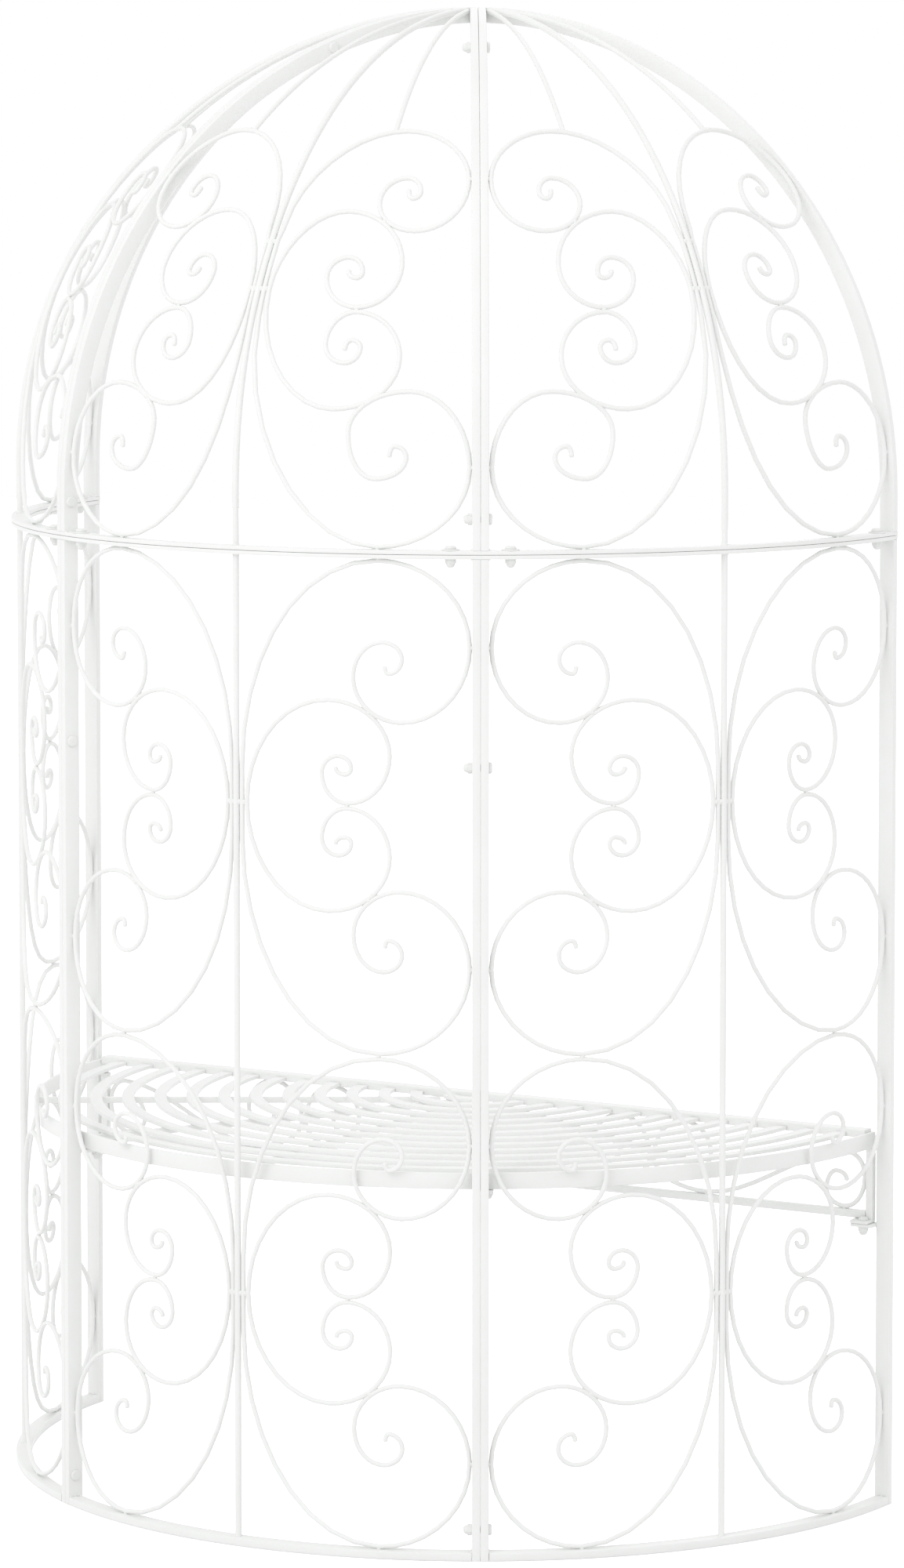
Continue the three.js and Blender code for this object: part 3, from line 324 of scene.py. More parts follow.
def smoothstep(t):
    t = clamp(t, 0, 1)
    return t * t * (3 - 2 * t)


def polar(radius, angle, z):
    return Vector((radius * math.cos(angle), radius * math.sin(angle), z))


# Materials


def add_node(tree, kind, **inputs):
    node = tree.nodes.new(kind)
    for name, value in inputs.items():
        node.inputs[name.replace("_", " ")].default_value = value
    return node


def drifting_white(tree, drift, white, shade):
    colours = add_node(tree, "ShaderNodeValToRGB")
    for stop, place, colour in zip(colours.color_ramp.elements, DRIFT_RANGE, (shade, white)):
        stop.position = place
        stop.color = (*colour, 1)
    tree.links.new(drift.outputs["Fac"], colours.inputs["Fac"])
    return colours


def drifting_gloss(tree, drift, roughness):
    low, high = DRIFT_RANGE
    less, more = GLOSS_RANGE
    gloss = add_node(tree, "ShaderNodeMapRange", From_Min=low, From_Max=high)
    gloss.inputs["To Min"].default_value = roughness + less
    gloss.inputs["To Max"].default_value = roughness + more
    tree.links.new(drift.outputs["Fac"], gloss.inputs["Value"])
    return gloss


def powder_coat(name, white, shade, roughness, grain):
    """A satin powder coat: a faint drift in its white, and the fine orange peel of the baked paint."""
    material = bpy.data.materials.new(name)
    material.use_nodes = True
    tree = material.node_tree
    links = tree.links
    shader = tree.nodes["Principled BSDF"]
    where = add_node(tree, "ShaderNodeTexCoord")
    noise = "ShaderNodeTexNoise"
    drift = add_node(tree, noise, Scale=DRIFT_SCALE, Detail=DRIFT_DETAIL, Roughness=COARSE)
    peel = add_node(tree, noise, Scale=grain, Detail=PEEL_DETAIL, Roughness=FINE)
    pits = add_node(tree, noise, Scale=grain / PIT_SIZE, Detail=PIT_DETAIL, Roughness=COARSE)
    colours = drifting_white(tree, drift, white, shade)
    gloss = drifting_gloss(tree, drift, roughness)
    blend = add_node(tree, "ShaderNodeMath")
    blend.operation = "ADD"
    bump = add_node(tree, "ShaderNodeBump", Strength=PEEL_STRENGTH, Distance=PEEL_DEPTH)
    for texture in (drift, peel, pits):
        links.new(where.outputs["Object"], texture.inputs["Vector"])
    links.new(colours.outputs["Color"], shader.inputs["Base Color"])
    links.new(gloss.outputs["Result"], shader.inputs["Roughness"])
    links.new(peel.outputs["Fac"], blend.inputs[0])
    links.new(pits.outputs["Fac"], blend.inputs[1])
    links.new(blend.outputs["Value"], bump.inputs["Height"])
    links.new(bump.outputs["Normal"], shader.inputs["Normal"])
    shader.inputs["Specular IOR Level"].default_value = SPECULAR
    return material


COAT = powder_coat("white_powder_coat", COAT_WHITE, COAT_SHADE, roughness=0.45, grain=1400)
WELD_COAT = powder_coat("coated_weld", COAT_WHITE, WELD_SHADE, roughness=0.5, grain=700)
BOLT_COAT = powder_coat("coated_bolt", BOLT_WHITE, BOLT_SHADE, roughness=0.38, grain=1800)


# Shapes


class Shape:
    """Gathers points in millimetres round the axis, and becomes one piece."""

    def __init__(self):
        self.points = []
        self.faces = []

    def ring(self, centre, side, up, outline):
        first = len(self.points)
        self.points.extend(centre + side * a + up * b for a, b in outline)
        return list(range(first, len(self.points)))

    def skin(self, rings):
        """Joins rings of the same number of points into a tube, with its ends filled."""
        for lower, upper in zip(rings, rings[1:]):
            count = len(lower)
            for i in range(count):
                j = (i + 1) % count
                self.faces.append((lower[i], lower[j], upper[j], upper[i]))
        self.faces.append(tuple(reversed(rings[0])))
        self.faces.append(tuple(rings[-1]))

    def sweep(self, stations, outline):
        """Carries an outline along stations, each a centre and the two directions of the outline."""
        self.skin([self.ring(centre, side, up, outline) for centre, side, up in stations])

    def rod(self, stations, radius):
        """A round rod with rounded ends."""
        circle = circle_outline(1, ROD_SIDES)
        rings = []
        ahead = (stations[1][0] - stations[0][0]).normalized()
        behind = (stations[-1][0] - stations[-2][0]).normalized()

        def end_ring(station, direction, angle):
            centre, side, up = station
            scale = radius * math.cos(angle)
            outline = [(a * scale, b * scale) for a, b in circle]
            beyond = direction * (radius * ROD_END_SHARE * math.sin(angle))
            return self.ring(centre + beyond, side, up, outline)

        for i in range(END_RINGS, 0, -1):
            rings.append(end_ring(stations[0], -ahead, ROD_END_ANGLE * i / END_RINGS))
        for station in stations:
            rings.append(end_ring(station, ahead, 0))
        for i in range(1, END_RINGS + 1):
            rings.append(end_ring(stations[-1], behind, ROD_END_ANGLE * i / END_RINGS))
        self.skin(rings)

    def lathe(self, profile, base, axis):
        """Turns a profile of radius, height and whether it is hexagonal there round an axis."""
        side = axis.orthogonal().normalized()
        up = axis.cross(side)
        rings = []
        for radius, height, is_hexagon in profile:
            outline = []
            for i in range(BOLT_SIDES):
                angle = 2 * math.pi * i / BOLT_SIDES
                r = radius * (hexagon_share(angle) if is_hexagon else 1)
                outline.append((r * math.cos(angle), r * math.sin(angle)))
            rings.append(self.ring(base + axis * height, side, up, outline))
        self.skin(rings)

    def bead(self, centre, radius, seed):
        """A small uneven blob of weld."""
        rings = []
        for i in range(1, BEAD_RINGS):
            rise = math.pi * i / BEAD_RINGS
            outline = []
            for j in range(BEAD_SIDES):
                angle = 2 * math.pi * j / BEAD_SIDES
                lobes = math.sin(BEAD_LOBES * angle + seed * BEAD_TURN) * math.sin(2 * rise + seed)
                r = radius * math.sin(rise) * (1 + BEAD_UNEVENNESS * lobes)
                outline.append((r * math.cos(angle), r * math.sin(angle)))
            middle = centre + UP * (-radius * math.cos(rise))
            rings.append(self.ring(middle, EAST, NORTH, outline))
        self.skin(rings)

    def bevelled_bar(self, base, turned, ends, section, bevel):
        """A straight bar with rounded long edges and bevelled ends, along the turned Z axis."""
        width, depth, corner = section
        outline = rounded_outline(width, depth, corner)
        inner = rounded_outline(width - 2 * bevel, depth - 2 * bevel, corner - bevel)
        start, end = ends
        levels = ((start, inner), (start + bevel, outline), (end - bevel, outline), (end, inner))
        side, up, along = (turned @ direction for direction in (EAST, NORTH, UP))
        self.skin([self.ring(base + along * place, side, up, edge) for place, edge in levels])

    def plate(self, corners, low, high, turn=0.0):
        """A flat plate with rounded corners, between two heights, turned round the axis."""
        (x0, x1), (y0, y1) = corners
        width = x1 - x0
        depth = y1 - y0
        corner = min(TAB_CORNER, width * LARGEST_CORNER_SHARE, depth * LARGEST_CORNER_SHARE)
        outline = rounded_outline(width, depth, corner)
        less = 2 * PLATE_BEVEL
        inner = rounded_outline(width - less, depth - less, corner - PLATE_BEVEL / 2)
        turned = Matrix.Rotation(turn, 3, "Z")
        side = turned @ EAST
        up = turned @ NORTH
        base = turned @ Vector(((x0 + x1) / 2, (y0 + y1) / 2, 0))
        levels = (
            (low, inner),
            (low + PLATE_BEVEL, outline),
            (high - PLATE_BEVEL, outline),
            (high, inner),
        )
        self.skin([self.ring(base + UP * z, side, up, edge) for z, edge in levels])

    def piece(self, name, material, slot, replaced=(), cuts=()):
        mesh = bpy.data.meshes.new(name)
        mesh.from_pydata([in_metres(point) for point in self.points], [], self.faces)
        shaped = bmesh.new()
        shaped.from_mesh(mesh)
        for point, normal in cuts:
            trim(shaped, point, normal)
        bmesh.ops.recalc_face_normals(shaped, faces=shaped.faces)
        shaped.to_mesh(mesh)
        shaped.free()
        mesh.polygons.foreach_set("use_smooth", [True] * len(mesh.polygons))
        mesh.set_sharp_from_angle(angle=SHARP_ANGLE)
        mesh.materials.append(material)
        made = bpy.data.objects.new(name, mesh)
        bpy.context.collection.objects.link(made)
        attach(made, "root")
        if replaced:
            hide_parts(*replaced)


def in_metres(point):
    """A point round the axis of the half circle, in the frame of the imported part."""
    return Vector((point.x * MM, point.y * MM + AXIS_Y, point.z * MM))


def trim(shaped, point, normal):
    """Cuts away what lies on the normal's side of a plane, and closes the cut."""
    result = bmesh.ops.bisect_plane(
        shaped,
        geom=shaped.verts[:] + shaped.edges[:] + shaped.faces[:],
        dist=CUT_TOLERANCE,
        plane_co=in_metres(point),
        plane_no=normal,
        clear_outer=True,
    )
    edges = [e for e in result["geom_cut"] if isinstance(e, bmesh.types.BMEdge)]
    if edges:
        bmesh.ops.contextual_create(shaped, geom=edges)


def circle_outline(radius, sides):
    steps = [2 * math.pi * i / sides for i in range(sides)]
    return [(radius * math.cos(a), radius * math.sin(a)) for a in steps]


def rounded_outline(width, height, corner):
    points = []
    for quadrant, (sx, sy) in enumerate(((1, 1), (-1, 1), (-1, -1), (1, -1))):
        for i in range(CORNER_STEPS + 1):
            angle = QUARTER * (quadrant + i / CORNER_STEPS)
            x = sx * (width / 2 - corner) + corner * math.cos(angle)
            y = sy * (height / 2 - corner) + corner * math.sin(angle)
            points.append((x, y))
    return points


# Rods, laid out flat as in the part's source and then placed on the wall or the roof


def turn(start, end, upright):
    def route(t):
        late = 1 - math.cos(t * QUARTER)
        early = math.sin(t * QUARTER)
        across, up = (late, early) if upright else (early, late)
        return lerp(start[0], end[0], across), lerp(start[1], end[1], up)

    return route


def run(start, end, upright):
    def route(t):
        across, up = (smoothstep(t), t) if upright else (t, smoothstep(t))
        return lerp(start[0], end[0], across), lerp(start[1], end[1], up)

    return route


def turns(points, starts_upright):
    pairs = zip(points, points[1:])
    return [turn(a, b, (i % 2 == 0) == starts_upright) for i, (a, b) in enumerate(pairs)]


def backwards(routes):
    return [lambda t, route=route: route(1 - t) for route in reversed(routes)]


def mirrored_up(routes):
    return [lambda t, route=route: (route(t)[0], -route(t)[1]) for route in routes]


def flat_points(routes):
    points = [routes[0](0)]
    for route in routes:
        points.extend(route(i / TURN_STEPS) for i in range(1, TURN_STEPS + 1))
    return points


def stations_on(points, place):
    """Centres of a rod with one direction square to the surface it lies on."""
    centres = [place(*p) for p in points]
    stations = []
    for i, (across, up) in enumerate(points):
        sideways = place(across + SMALL_STEP, up) - place(across - SMALL_STEP, up)
        upwards = place(across, up + SMALL_STEP) - place(across, up - SMALL_STEP)
        facing = sideways.cross(upwards).normalized()
        before = centres[max(0, i - 1)]
        after = centres[min(len(centres) - 1, i + 1)]
        ahead = (after - before).normalized()
        facing = (facing - ahead * facing.dot(ahead)).normalized()
        stations.append((centres[i], facing, ahead.cross(facing)))
    return stations


def nearest_pair(points_a, points_b):
    pairs = ((a, b) for a in points_a for b in points_b)
    return min(pairs, key=lambda pair: (pair[0] - pair[1]).length_squared)


class Welds:
    """Gathers weld beads, each with its own unevenness."""

    def __init__(self):
        self.shape = Shape()
        self.count = 0

    def add(self, centre, radius):
        self.count += 1
        self.shape.bead(centre, radius, self.count)

    def between(self, points_a, points_b):
        a, b = nearest_pair(points_a, points_b)
        self.add((a + b) / 2, max(ROD_RADIUS, (a - b).length / 2) + BETWEEN_REACH)


def slack(flatness, angle, up):
    """How far inside the rails' curve a scroll lies, as a share of the radius. It is nothing at the
    panel's middle and at its joints, and where up is -1 or 1."""
    across = angle / HALF_ANGLE
    return flatness * ARCH_SHARE * 4 * across * (1 - across) * (1 - up * up)


# Walls


def wall_point(share):
    across = clamp(share[0] * CLEAR_BAY, LARGE_OFFSET, CLEAR_BAY - ROD_RADIUS)
    up = clamp(share[1] * HALF_REPEAT, ROD_RADIUS, HALF_REPEAT - ROD_RADIUS)
    return across, up


def wall_place(panel_angle, side, middle):
    def place(across, up):
        angle = across / MID_RADIUS
        radius = MID_RADIUS * (1 - slack(WALL_FLATNESS, angle, up / HALF_REPEAT))
        return polar(radius, panel_angle + side * angle, middle + up)

    return place


def wall_middles():
    return [WALL_FLOOR + (2 * i + 1) * HALF_REPEAT for i in range(REPEATS)]


def wall_scrolls(node, panel_angle, side):
    shape = Shape()
    welds = Welds()
    large_points = [wall_point(share) for share in WALL_LARGE_SHARES]
    medium_points = [(MEDIUM_OFFSET, 0)] + [wall_point(share) for share in WALL_MEDIUM_SHARES]
    large_half = [run((LARGE_OFFSET, 0), large_points[0], True)] + turns(large_points, True)
    medium_half = turns(medium_points, True)
    rail_touch, stile_touch = large_points[1:3]
    waist = medium_points[3]
    for middle in wall_middles():
        place = wall_place(panel_angle, side, middle)
        for half in (large_half, medium_half):
            whole = backwards(mirrored_up(half)) + half
            shape.rod(stations_on(flat_points(whole), place), ROD_RADIUS)
        for up_sign in (-1, 1):
            large, medium = (
                [place(a, up_sign * b) for a, b in flat_points(half) if b > WELD_CLEARANCE]
                for half in (large_half, medium_half)
            )
            welds.between(large, medium)
            welds.add(place(stile_touch[0] + ROD_RADIUS, up_sign * stile_touch[1]), ROD_RADIUS)
            welds.add(place(rail_touch[0], up_sign * HALF_REPEAT), ROD_RADIUS)
        welds.add(place(waist[0], 0), ROD_RADIUS)
        for gap_place in bundle_gaps(MEDIUM_OFFSET):
            welds.add(place(gap_place, 0), BUNDLE_WELD_RADIUS)
    shape.piece(f"{node}_rods", COAT, COAT_SLOT, (node,))
    welds.shape.piece(f"{node}_welds", WELD_COAT, COAT_SLOT)


def bundle_gaps(outermost):
    """Where the gaps between the rods of one half of a bundle lie, out to its outermost rod."""
    rods = [0, LARGE_OFFSET, MEDIUM_OFFSET]
    return [(a + b) / 2 for a, b in zip(rods, rods[1:]) if b <= outermost]


def wall_centre_bar(panel, panel_angle, welds):
    shape = Shape()
    out = polar(1, panel_angle, 0)
    sideways = Vector((-out.y, out.x, 0))
    ends = (WALL_FLOOR + WELD_GAP, WALL_CEILING - WELD_GAP)
    shape.sweep(
        [(polar(MID_RADIUS, panel_angle, z), out, sideways) for z in ends],
        circle_outline(CENTRE_BAR_RADIUS, ROUND_BAR_SIDES),
    )
    for z in (WALL_FLOOR, WALL_CEILING):
        welds.add(polar(MID_RADIUS, panel_angle, z), CENTRE_BAR_RADIUS + ROUND_BAR_REACH)
    node = f"{panel}_wall_centre_bar"
    shape.piece(f"{node}_rod", COAT, COAT_SLOT, (node,))


def arc_stations(radius, start, end, z, steps):
    stations = []
    for i in range(steps + 1):
        angle = lerp(start, end, i / steps)
        stations.append((polar(radius, angle, z), polar(1, angle, 0), UP))
    return stations


def curved_rail(node, panel_angle, reach, low, high, corner):
    half = HALF_ANGLE - math.asin(reach / INNER_RADIUS)
    ends = (panel_angle - half, panel_angle + half)
    shape = Shape()
    stations = arc_stations(MID_RADIUS, *ends, (low + high) / 2, RAIL_STEPS)
    shape.sweep(stations, rounded_outline(BAR_DEPTH, high - low, corner))
    shape.piece(f"{node}_bar", COAT, COAT_SLOT, (node,))


def beside_joint(side, gap, width):
    return (-gap - width, -gap) if side > 0 else (gap, gap + width)


def stile(panel, end, side, panel_angle, tab, welds):
    turned = panel_angle + side * HALF_ANGLE
    spin = Matrix.Rotation(turned, 3, "Z")
    y0, y1 = beside_joint(side, WALL_JOINT_GAP, BAR_THICKNESS)
    middle = (y0 + y1) / 2
    shape = Shape()
    ends = (0, WALL_CEILING - END_GAP)
    section = (BAR_DEPTH, BAR_THICKNESS, BAR_CORNER)
    shape.bevelled_bar(spin @ Vector((MID_RADIUS, middle, 0)), spin, ends, section, STILE_END_BEVEL)
    if tab:
        tab_top, tab_width = tab
        low = tab_top - TAB_THICKNESS
        length = (INNER_RADIUS - TAB_LENGTH, INNER_RADIUS + TAB_LAP)
        shape.plate((length, beside_joint(side, WALL_JOINT_GAP, tab_width)), low, tab_top, turned)
        for share in TAB_WELD_PLACES:
            place = Vector((INNER_RADIUS - TAB_LAP, middle + share * BAR_THICKNESS, low))
            welds.add(spin @ place, WELD_REACH)
    node = f"{panel}_wall_stile_{end}"
    shape.piece(f"{node}_bar", COAT, COAT_SLOT, (node,))
    inner_face = y0 if side > 0 else y1
    for z in (BAR_THICKNESS, WALL_CEILING):
        for share in WELD_PLACES:
            place = Vector((MID_RADIUS + share * BAR_DEPTH, inner_face, z))
            welds.add(spin @ place, WELD_REACH)


# Roof


def roof_profile(share, inset):
    if share <= STRAIGHT_SHARE:
        return RADIUS - inset, ROOF_FLOOR + share * ROOF_LENGTH
    angle = (share - STRAIGHT_SHARE) / (1 - STRAIGHT_SHARE) * QUARTER
    return (RADIUS - inset) * math.cos(angle), ROOF_SPRING + (ROOF_RISE - inset) * math.sin(angle)


def rod_inset(share):
    return lerp(BAR_DEPTH / 2, CENTRE_BAR_RADIUS, smoothstep(share / ROOF_FLUSH_SHARE))


def roof_bay(r):
    return r * HALF_ANGLE - (ROOF_JOINT_GAP + BAR_THICKNESS)


def roof_across(distance, share):
    return distance / roof_bay(roof_profile(share, rod_inset(share))[0])


def roof_place(panel_angle, side):
    def place(across, share):
        outside, z = roof_profile(share, rod_inset(share))
        angle = across * roof_bay(outside) / outside
        r = outside * (1 - slack(ROOF_FLATNESS, angle, 2 * share / ROOF_SCROLL_TOP - 1))
        return polar(r, panel_angle + side * angle, z)

    return place


def roof_point(point):
    across, share = point
    return min(across, 1 - roof_across(ROD_RADIUS, share)), max(share, ROD_RADIUS / ROOF_LENGTH)


def off_waist(shares, amount):
    return [(a, share + amount if share == ROOF_WAIST_SHARE else share) for a, share in shares]


def meridian_place(angle):
    def place(across, share):
        r, z = roof_profile(share, rod_inset(share))
        return polar(r, angle + across / max(r, NEAREST_RADIUS), z)

    return place


def share_where(reach, angle_share):
    """How far up the roof a rod meets a rib. It stands at a share of the angle to that rib."""
    rib_face = (ROOF_JOINT_GAP + BAR_THICKNESS + reach) / math.sin(HALF_ANGLE * (1 - angle_share))
    up = math.acos(clamp(rib_face / (RADIUS - CENTRE_BAR_RADIUS), 0, 1))
    return STRAIGHT_SHARE + up / QUARTER * (1 - STRAIGHT_SHARE)


def meridian_rod(shape, angle, start, end, steps, radius):
    points = [(0, lerp(start, end, i / steps)) for i in range(steps + 1)]
    shape.rod(stations_on(points, meridian_place(angle)), radius)


def roof_half(shape, welds, panel_angle, side):
    place = roof_place(panel_angle, side)
    low_weld, high_weld = ROOF_WELD_SHARES
    apart = ROD_RADIUS / ROOF_LENGTH
    large_up = [roof_point(p) for p in ROOF_LARGE_UPPER_SHARES]
    large_down = [roof_point(p) for p in ROOF_LARGE_LOWER_SHARES]
    foot = (roof_across(MEDIUM_OFFSET, low_weld), low_weld)
    medium_up = [foot] + [roof_point(p) for p in off_waist(ROOF_MEDIUM_UPPER_SHARES, apart)]
    medium_down = [foot] + [roof_point(p) for p in off_waist(ROOF_MEDIUM_LOWER_SHARES, -apart)]
    low_bundle = (roof_across(LARGE_OFFSET, low_weld), low_weld)
    high_bundle = (roof_across(LARGE_OFFSET, high_weld), high_weld)
    large_above, large_below = turns(large_up, True), turns(large_down, True)
    medium_above, medium_below = turns(medium_up, True), turns(medium_down, True)
    beside_bar = [
        run(large_down[0], low_bundle, True),
        run(low_bundle, high_bundle, True),
        run(high_bundle, large_up[0], True),
    ]
    large = backwards(large_below) + beside_bar + large_above
    medium = backwards(medium_below) + medium_above
    for routes in (large, medium):
        shape.rod(stations_on(flat_points(routes), place), ROD_RADIUS)
    for large_half, medium_half in ((large_above, medium_above), (large_below, medium_below)):
        medium_away = flat_points(medium_half)[TURN_STEPS // 2 :]
        outer = [place(*p) for p in flat_points(large_half)]
        welds.between(outer, [place(*p) for p in medium_away])
    welds.add((place(*medium_up[3]) + place(*medium_down[3])) / 2, ROD_RADIUS)
    for point in (large_up[2], large_down[2]):
        beside = roof_across(ROD_RADIUS, point[1])
        welds.add(place(point[0] + beside, point[1]), ROD_RADIUS)
    for share, outermost in zip(ROOF_WELD_SHARES, (MEDIUM_OFFSET, LARGE_OFFSET)):
        for gap_place in bundle_gaps(outermost):
            welds.add(place(roof_across(gap_place, share), share), BUNDLE_WELD_RADIUS)
    rail_touch = large_down[1]
    welds.add(place(rail_touch[0], 0), ROD_RADIUS)
    strut_angle = panel_angle + side * HALF_ANGLE * STRUT_ANGLE_SHARE
    roof_strut(shape, welds, strut_angle, place(*large_up[1]))


def roof_strut(shape, welds, angle, scroll_top):
    end = share_where(ROD_RADIUS, STRUT_ANGLE_SHARE)
    meridian_rod(shape, angle, ROOF_SCROLL_TOP, end, RIB_STEPS, ROD_RADIUS)
    place = meridian_place(angle)
    welds.add((scroll_top + place(0, ROOF_SCROLL_TOP)) / 2, ROD_RADIUS + STRUT_REACH)
    welds.add(place(0, end), ROD_RADIUS)


def roof_scrollwork(panel, panel_angle, welds):
    shape = Shape()
    start = WELD_GAP / ROOF_LENGTH
    end = share_where(CENTRE_BAR_RADIUS + WELD_GAP, 0)
    meridian_rod(shape, panel_angle, start, end, 2 * RIB_STEPS, CENTRE_BAR_RADIUS)
    for side in (-1, 1):
        roof_half(shape, welds, panel_angle, side)
    welds.add(meridian_place(panel_angle)(0, 0), CENTRE_BAR_RADIUS + ROUND_BAR_REACH)
    node = f"{panel}_roof_scrollwork"
    shape.piece(f"{node}_rods", COAT, COAT_SLOT, (node,))


def roof_rib(panel, end, side, panel_angle, welds):
    turned = panel_angle + side * HALF_ANGLE
    spin = Matrix.Rotation(turned, 3, "Z")
    y0, y1 = beside_joint(side, ROOF_JOINT_GAP, BAR_THICKNESS)
    middle = (y0 + y1) / 2
    across = spin @ NORTH
    foot = Vector((MID_RADIUS, middle, ROOF_FLOOR + END_GAP))
    stations = [(spin @ foot, spin @ EAST, across)]
    for i in range(RIB_STEPS + 1):
        angle = QUARTER * i / RIB_STEPS
        r = MID_RADIUS * math.cos(angle)
        z = ROOF_SPRING + (ROOF_RISE - TIP_SETTLE - BAR_DEPTH / 2) * math.sin(angle)
        out = Vector((math.cos(angle), 0, math.sin(angle)))
        stations.append((spin @ Vector((r, middle, z)), spin @ out, across))
    shape = Shape()
    shape.sweep(stations, rounded_outline(BAR_DEPTH, BAR_THICKNESS, BAR_CORNER))
    beyond = polar(1, panel_angle - side * QUARTER, 0)
    mitre = (beyond * -MITRE_GAP, beyond)
    tip = (polar(TIP_CUT, panel_angle, 0), polar(-1, panel_angle, 0))
    node = f"{panel}_roof_rib_{end}"
    shape.piece(f"{node}_bar", COAT, COAT_SLOT, (node,), (mitre, tip))
    inner_face = y0 if side > 0 else y1
    for share in WELD_PLACES:
        place = Vector((MID_RADIUS + share * BAR_DEPTH, inner_face, ROOF_FLOOR))
        welds.add(spin @ place, WELD_REACH)


def roof_bolt_places():
    return (
        roof_profile(ROOF_BOLT_FOOT / ROOF_LENGTH, BAR_DEPTH / 2),
        roof_profile(ROOF_BOLT_TOP_SHARE, BAR_DEPTH / 2),
    )


# Seat and apron


def half_ring(shape, inner, outer, low, high, corner, start):
    radius = (inner + outer) / 2
    height = (low + high) / 2
    stations = arc_stations(radius, start, math.pi - start, height, HALF_RING_STEPS)
    shape.sweep(stations, rounded_outline(outer - inner, high - low, corner))


def front_angle(radius):
    return math.asin((FRONT_BACK + WELD_GAP) / radius)


def seat_rim():
    shape = Shape()
    start = math.asin(FRONT_INSET / RIM_INNER)
    half_ring(shape, RIM_INNER, SEAT_RADIUS, RIM_BOTTOM, SEAT_HEIGHT, RAIL_CORNER, start)
    shape.piece("seat_rim_band", COAT, COAT_SLOT, ("seat_rim",))


def cross_bar(node, reach, back, low, high, corner):
    """A bar along X behind the front plane, as far to the left as to the right."""
    shape = Shape()
    middle = Vector((0, (FRONT_INSET + back) / 2, (low + high) / 2))
    section = (back - FRONT_INSET, high - low, corner)
    shape.bevelled_bar(middle, ALONG_X, (-reach, reach), section, BAR_END_BEVEL)
    shape.piece(f"{node}_rounded", COAT, COAT_SLOT, (node,))


def seat_slats():
    shape = Shape()
    for index in range(SLAT_COUNT):
        outer = RIM_INNER - SLAT_GAP - index * (SLAT_WIDTH + SLAT_GAP)
        inner = outer - SLAT_WIDTH
        half_ring(shape, inner, outer, SLAT_BOTTOM, SEAT_HEIGHT, SLAT_CORNER, front_angle(inner))
    for i in range(SUPPORT_COUNT):
        angle = math.pi * (i + 1) / (SUPPORT_COUNT + 1)
        half = SUPPORT_WIDTH / 2
        start = (FRONT_BACK + WELD_GAP + half * abs(math.cos(angle))) / math.sin(angle)
        stop = math.sqrt(RIM_INNER**2 - half**2) - WELD_GAP
        z = (SUPPORT_BOTTOM + SLAT_BOTTOM) / 2
        across = polar(1, angle + QUARTER, 0)
        stations = [(polar(r, angle, z), across, UP) for r in (start, stop)]
        shape.sweep(stations, rounded_outline(SUPPORT_WIDTH, SUPPORT_HEIGHT, SUPPORT_CORNER))
    for angle in JOINT_ANGLES:
        corners = (
            (INNER_RADIUS - TAB_LENGTH, RIM_INNER - RIM_THICKNESS),
            (-SUPPORT_WIDTH / 2, WALL_JOINT_GAP + REAR_TAB_WIDTH),
        )
        shape.plate(corners, RIM_BOTTOM, SUPPORT_BOTTOM, angle)
    shape.piece("seat_slats_and_supports", COAT, COAT_SLOT, ("seat_slats",))


def apron_point(share):
    across = clamp(share[0] * POST_INNER, ROD_RADIUS, POST_INNER - ROD_RADIUS)
    up = clamp(share[1] * APRON_HEIGHT, ROD_RADIUS, APRON_HEIGHT - ROD_RADIUS)
    return across, up


def apron_scrolls(name, side, welds):
    middle = (FRONT_INSET + APRON_BACK) / 2

    def place(across, up):
        return Vector((side * across, middle, APRON_FLOOR + up))

    shape = Shape()
    lines = []
    for near_shares, far_shares, outward in (
        (APRON_OUTER_SHARES, APRON_OUTER_FAR_SHARES, ROD_RADIUS),
        (APRON_INNER_SHARES, APRON_INNER_FAR_SHARES, -ROD_RADIUS),
    ):
        near = [apron_point(share) for share in near_shares]
        far = [apron_point(share) for share in far_shares]
        routes = turns(near, True) + [run(near[-1], far[0], False)] + turns(far, False)
        points = flat_points(routes)
        shape.rod(stations_on(points, place), ROD_RADIUS)
        lines.append([place(*p) for p in points])
        for touch, height in ((near[3], 0), (far[0], 0), (far[2], APRON_HEIGHT)):
            welds.add(place(touch[0], height), ROD_RADIUS)
        beside = near[4]
        welds.add(place(beside[0] + outward, beside[1]), ROD_RADIUS)
    welds.between(lines[0], lines[1])
    shape.piece(f"apron_{name}_scroll_rods", COAT, COAT_SLOT, (f"apron_{name}_scrolls",))


def apron_end(name, side, welds):
    shape = Shape()
    outline = rounded_outline(BAR_THICKNESS, BAR_THICKNESS, APRON_CORNER)
    x = side * (POST_INNER + POST_OUTER) / 2
    y = (FRONT_INSET + APRON_BACK) / 2
    levels = (LUG_TOP, RIM_BOTTOM - WELD_GAP)
    shape.sweep([(Vector((x, y, z)), EAST, NORTH) for z in levels], outline)
    corners = (
        tuple(sorted((side * (INNER_RADIUS - TAB_LENGTH), side * POST_OUTER))),
        (FRONT_INSET, FRONT_BOLT_OFFSET + SEAT_HEAD_RADIUS + LUG_MARGIN),
    )
    shape.plate(corners, LUG_TOP - TAB_THICKNESS, LUG_TOP)
    shape.piece(f"apron_{name}_end_post", COAT, COAT_SLOT, (f"apron_{name}_end",))
    for z in (APRON_FLOOR, RIM_BOTTOM):
        welds.add(Vector((side * POST_INNER, y, z)), WELD_REACH)


# Bolts


def hexagon_share(angle):
    """A hexagon's radius over that of its corners, at an angle."""
    return math.cos(HALF_FLAT) / math.cos(folded_to_flat(angle))


